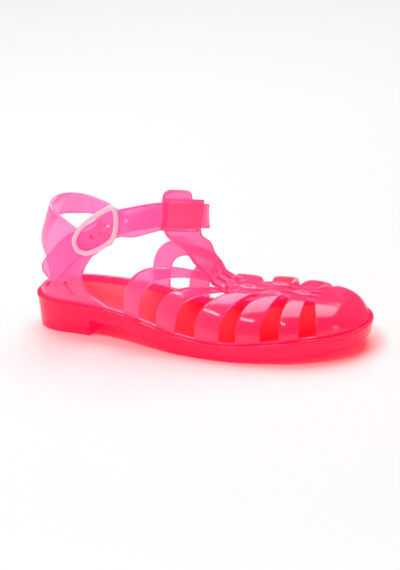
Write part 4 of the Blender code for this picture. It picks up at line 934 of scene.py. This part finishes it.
# Painted glow: a faint pink emission lightens the whole wall
shader = add_node(tree, "ShaderNodeBsdfPrincipled", Base_Color=tint, Roughness=0.16, IOR=1.50,
                  Specular_IOR_Level=0.35, Transmission_Weight=0.75, Normal=relief.outputs["Normal"],
                  Emission_Color=srgb("#FF2A7A"), Emission_Strength=0.12)
add_node(tree, "ShaderNodeOutputMaterial", Surface=shader.outputs["BSDF"])
upper.data.materials.clear()
upper.data.materials.append(upper_pvc)
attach(upper, "root")
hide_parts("upper")


# Buckle: a D frame and its prong, moulded of pinkish white plastic. The hinge bar runs through the knuckle of the
# outer tab, and the prong turns on it and comes up through the strap's middle hole.

WIRE = 2.3
PRONG = 1.1
BAR_BEND = 1.0
FRAME_SHAPE = ((-0.462, 0.432), (-0.169, 0.507), (0.115, 0.479), (0.365, 0.356), (0.500, 0.137), (0.519, -0.123),
               (0.431, -0.342), (0.192, -0.473), (-0.019, -0.486), (-0.177, -0.438))
PRONG_SHAPE = ((0.27, -1.00), (0.75, -0.65), (0.96, 0.10), (1.02, 0.95), (1.16, 1.60), (1.42, 1.75))


def buckle_place(a, b, n):
    """Place a heelward, b upward and n outward of the tab's skin over the hinge bar."""
    return hinge_skin + heelward * a + upward * b + buckle_out * n


wire_height = STRAP_LIFT + CLEARANCE + WIRE / 2
loop = smooth_curve(np.array(FRAME_SHAPE) * [FRAME_LENGTH, FRAME_HEIGHT], steps=10, closed=True)
ahead = unit(np.roll(loop, -1, 0) - np.roll(loop, 1, 0))
side = np.stack([ahead[:, 1], -ahead[:, 0]], -1)
turn = np.linspace(0, 2 * np.pi, 25)[:-1]
frame_flat = loop[:, None] + side[:, None] * (np.cos(turn) * WIRE / 2)[None, :, None]
frame_rings = (hinge_skin + frame_flat[..., :1] * heelward + frame_flat[..., 1:] * upward
               + (wire_height + np.sin(turn) * WIRE / 2)[None, :, None] * buckle_out)
buckle = weld("buckle_d_frame", [quads(np.concatenate([frame_rings, frame_rings[:1]]), closed=True)])
reach, low, bend = FRAME_HEIGHT / 2, -KNUCKLE / 2, np.linspace(0, np.pi / 2, 6)
bar_half = [(reach, wire_height), (reach, low + BAR_BEND)]
bar_half += [(reach - BAR_BEND + BAR_BEND * np.cos(a), low + BAR_BEND - BAR_BEND * np.sin(a)) for a in bend[1:]]
bar_path = [buckle_place(0, b, n) for b, n in bar_half] + [buckle_place(0, -b, n) for b, n in bar_half[::-1]]
combine(buckle, weld("hinge_bar", [rod(bar_path, HINGE_BAR / 2, sides=18)]), "UNION")
eye, half_eye, shell = [], PRONG_EYE_WIDTH / 2, bore + PRONG_EYE_WALL
for b, r in ((-half_eye, bore), (-half_eye, shell), (half_eye, shell), (half_eye, bore), (-half_eye, bore)):
    circle = hinge_centre + upward * b + r * (np.cos(turn)[:, None] * heelward + np.sin(turn)[:, None] * buckle_out)
    eye.append(circle)
prong = weld("buckle_prong_pin", [quads(np.array(eye), closed=True)])
prong_path = smooth_curve([buckle_place(-a * PRONG_REACH, 0, n * WALL) for a, n in PRONG_SHAPE], steps=6)
combine(prong, weld("pin", [rod(prong_path, PRONG / 2, sides=16)]), "UNION")

# Moulded plastic, satin: almost white with the pink of the sandal in it, faint sink marks, and a soft highlight,
# with a faint painted pink glow (emission) that lightens it
satin, tree, place = new_material("satin_moulded_plastic")
sink = add_node(tree, "ShaderNodeTexNoise", Vector=place, Scale=500.0, Detail=3.0, Roughness=0.5)
relief = add_node(tree, "ShaderNodeBump", Height=sink.outputs["Fac"], Strength=0.08, Distance=0.0002)
tint = add_node(tree, "ShaderNodeValToRGB", {"tones": ("#FFC2D4", "#FFD4E2")}, Fac=sink.outputs["Fac"])
# Painted glow: a faint pink emission lightens the plastic
shader = add_node(tree, "ShaderNodeBsdfPrincipled", Base_Color=tint.outputs["Color"], Roughness=0.35, IOR=1.49,
                  Normal=relief.outputs["Normal"], Emission_Color=srgb("#FFB4CC"), Emission_Strength=0.22)
add_node(tree, "ShaderNodeOutputMaterial", Surface=shader.outputs["BSDF"])
for piece, node in ((buckle, "buckle_frame"), (prong, "buckle_prong")):
    piece.data.materials.clear()
    piece.data.materials.append(satin)
    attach(piece, "root")
    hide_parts(node)


# Studio: a flat white floor, glossy enough to mirror the sole. A large soft light behind the shoe shines through it,
# a narrow one in front draws the glints, and a small low one lights the toe. The camera stands 1 m off on the
# shoe's outer side, at the photograph's angle, and turned a little about its line of sight.

def quad_plane(name, corners):
    mesh = bpy.data.meshes.new(name)
    mesh.from_pydata(corners, [], [tuple(range(len(corners)))])
    made = bpy.data.objects.new(name, mesh)
    bpy.context.scene.collection.objects.link(made)
    return made


FLOOR_REACH = 3.0
floor = quad_plane("floor", [(x * FLOOR_REACH, y * FLOOR_REACH, 0) for x, y in ((-1, -1), (1, -1), (1, 1), (-1, 1))])

# Coated white board: faint fibre under a smooth coating, whose gloss mirrors what stands close to it
board, tree, place = new_material("coated_white_board")
fibre = add_node(tree, "ShaderNodeTexNoise", Vector=place, Scale=400.0, Detail=2.0)
tint = add_node(tree, "ShaderNodeValToRGB", {"tones": ("#FAFAFA", "#FEFEFE")}, Fac=fibre.outputs["Fac"])
shader = add_node(tree, "ShaderNodeBsdfPrincipled", Base_Color=tint.outputs["Color"], Roughness=0.18, IOR=1.7)
add_node(tree, "ShaderNodeOutputMaterial", Surface=shader.outputs["BSDF"])
floor.data.materials.append(board)


def soft_light(name, where, aim, size, power):
    light = bpy.data.lights.new(name, "AREA")
    light.shape = "RECTANGLE"
    light.size, light.size_y = size
    light.energy = power
    made = bpy.data.objects.new(name, light)
    bpy.context.scene.collection.objects.link(made)
    made.location = where
    made.rotation_euler = (Vector(aim) - Vector(where)).to_track_quat("-Z", "Y").to_euler()


soft_light("behind", (-0.3, 0.7, 1.3), aim=(0, 0, 0), size=(1.6, 1.2), power=24.5)
soft_light("front", (-0.3, -0.5, 1.1), aim=(0, 0, 0.03), size=(0.7, 0.12), power=5.0)
soft_light("right edge", (0.75, -0.3, 0.13), aim=(0, 0, 0.06), size=(0.05, 0.22), power=0.35)
world = bpy.data.worlds.new("studio")
world.use_nodes = True
world.node_tree.nodes["Background"].inputs["Color"].default_value = (1.0, 1.0, 1.0, 1.0)
world.node_tree.nodes["Background"].inputs["Strength"].default_value = 0.18
bpy.context.scene.world = world
bpy.context.scene.view_settings.view_transform = "Standard"

AZIMUTH, ELEVATION, ROLL = np.radians([21.0, 20.4, 2.2])
AIM = (86.0, 0.0, 25.0)
CAMERA_DISTANCE = 1.0
VIEW_WIDTH = 0.1965
SENSOR_WIDTH = 36.0
right = np.array([np.cos(AZIMUTH), np.sin(AZIMUTH), 0.0])
up = np.array([-np.sin(AZIMUTH) * np.sin(ELEVATION), np.cos(AZIMUTH) * np.sin(ELEVATION), np.cos(ELEVATION)])
back = np.array([np.sin(AZIMUTH) * np.cos(ELEVATION), -np.cos(AZIMUTH) * np.cos(ELEVATION), np.sin(ELEVATION)])
rolled_right = right * np.cos(ROLL) - up * np.sin(ROLL)
rolled_up = right * np.sin(ROLL) + up * np.cos(ROLL)
eye = (np.array(AIM) - STAND_CENTRE) / 1000 + back * CAMERA_DISTANCE
camera_data = bpy.data.cameras.new("camera")
camera_data.sensor_fit = "HORIZONTAL"
camera_data.sensor_width = SENSOR_WIDTH
camera_data.lens = SENSOR_WIDTH * CAMERA_DISTANCE / VIEW_WIDTH
camera = bpy.data.objects.new("camera", camera_data)
bpy.context.scene.collection.objects.link(camera)
camera.matrix_world = Matrix([[rolled_right[i], rolled_up[i], back[i], eye[i]] for i in range(3)] + [[0, 0, 0, 1]])
bpy.context.scene.camera = camera
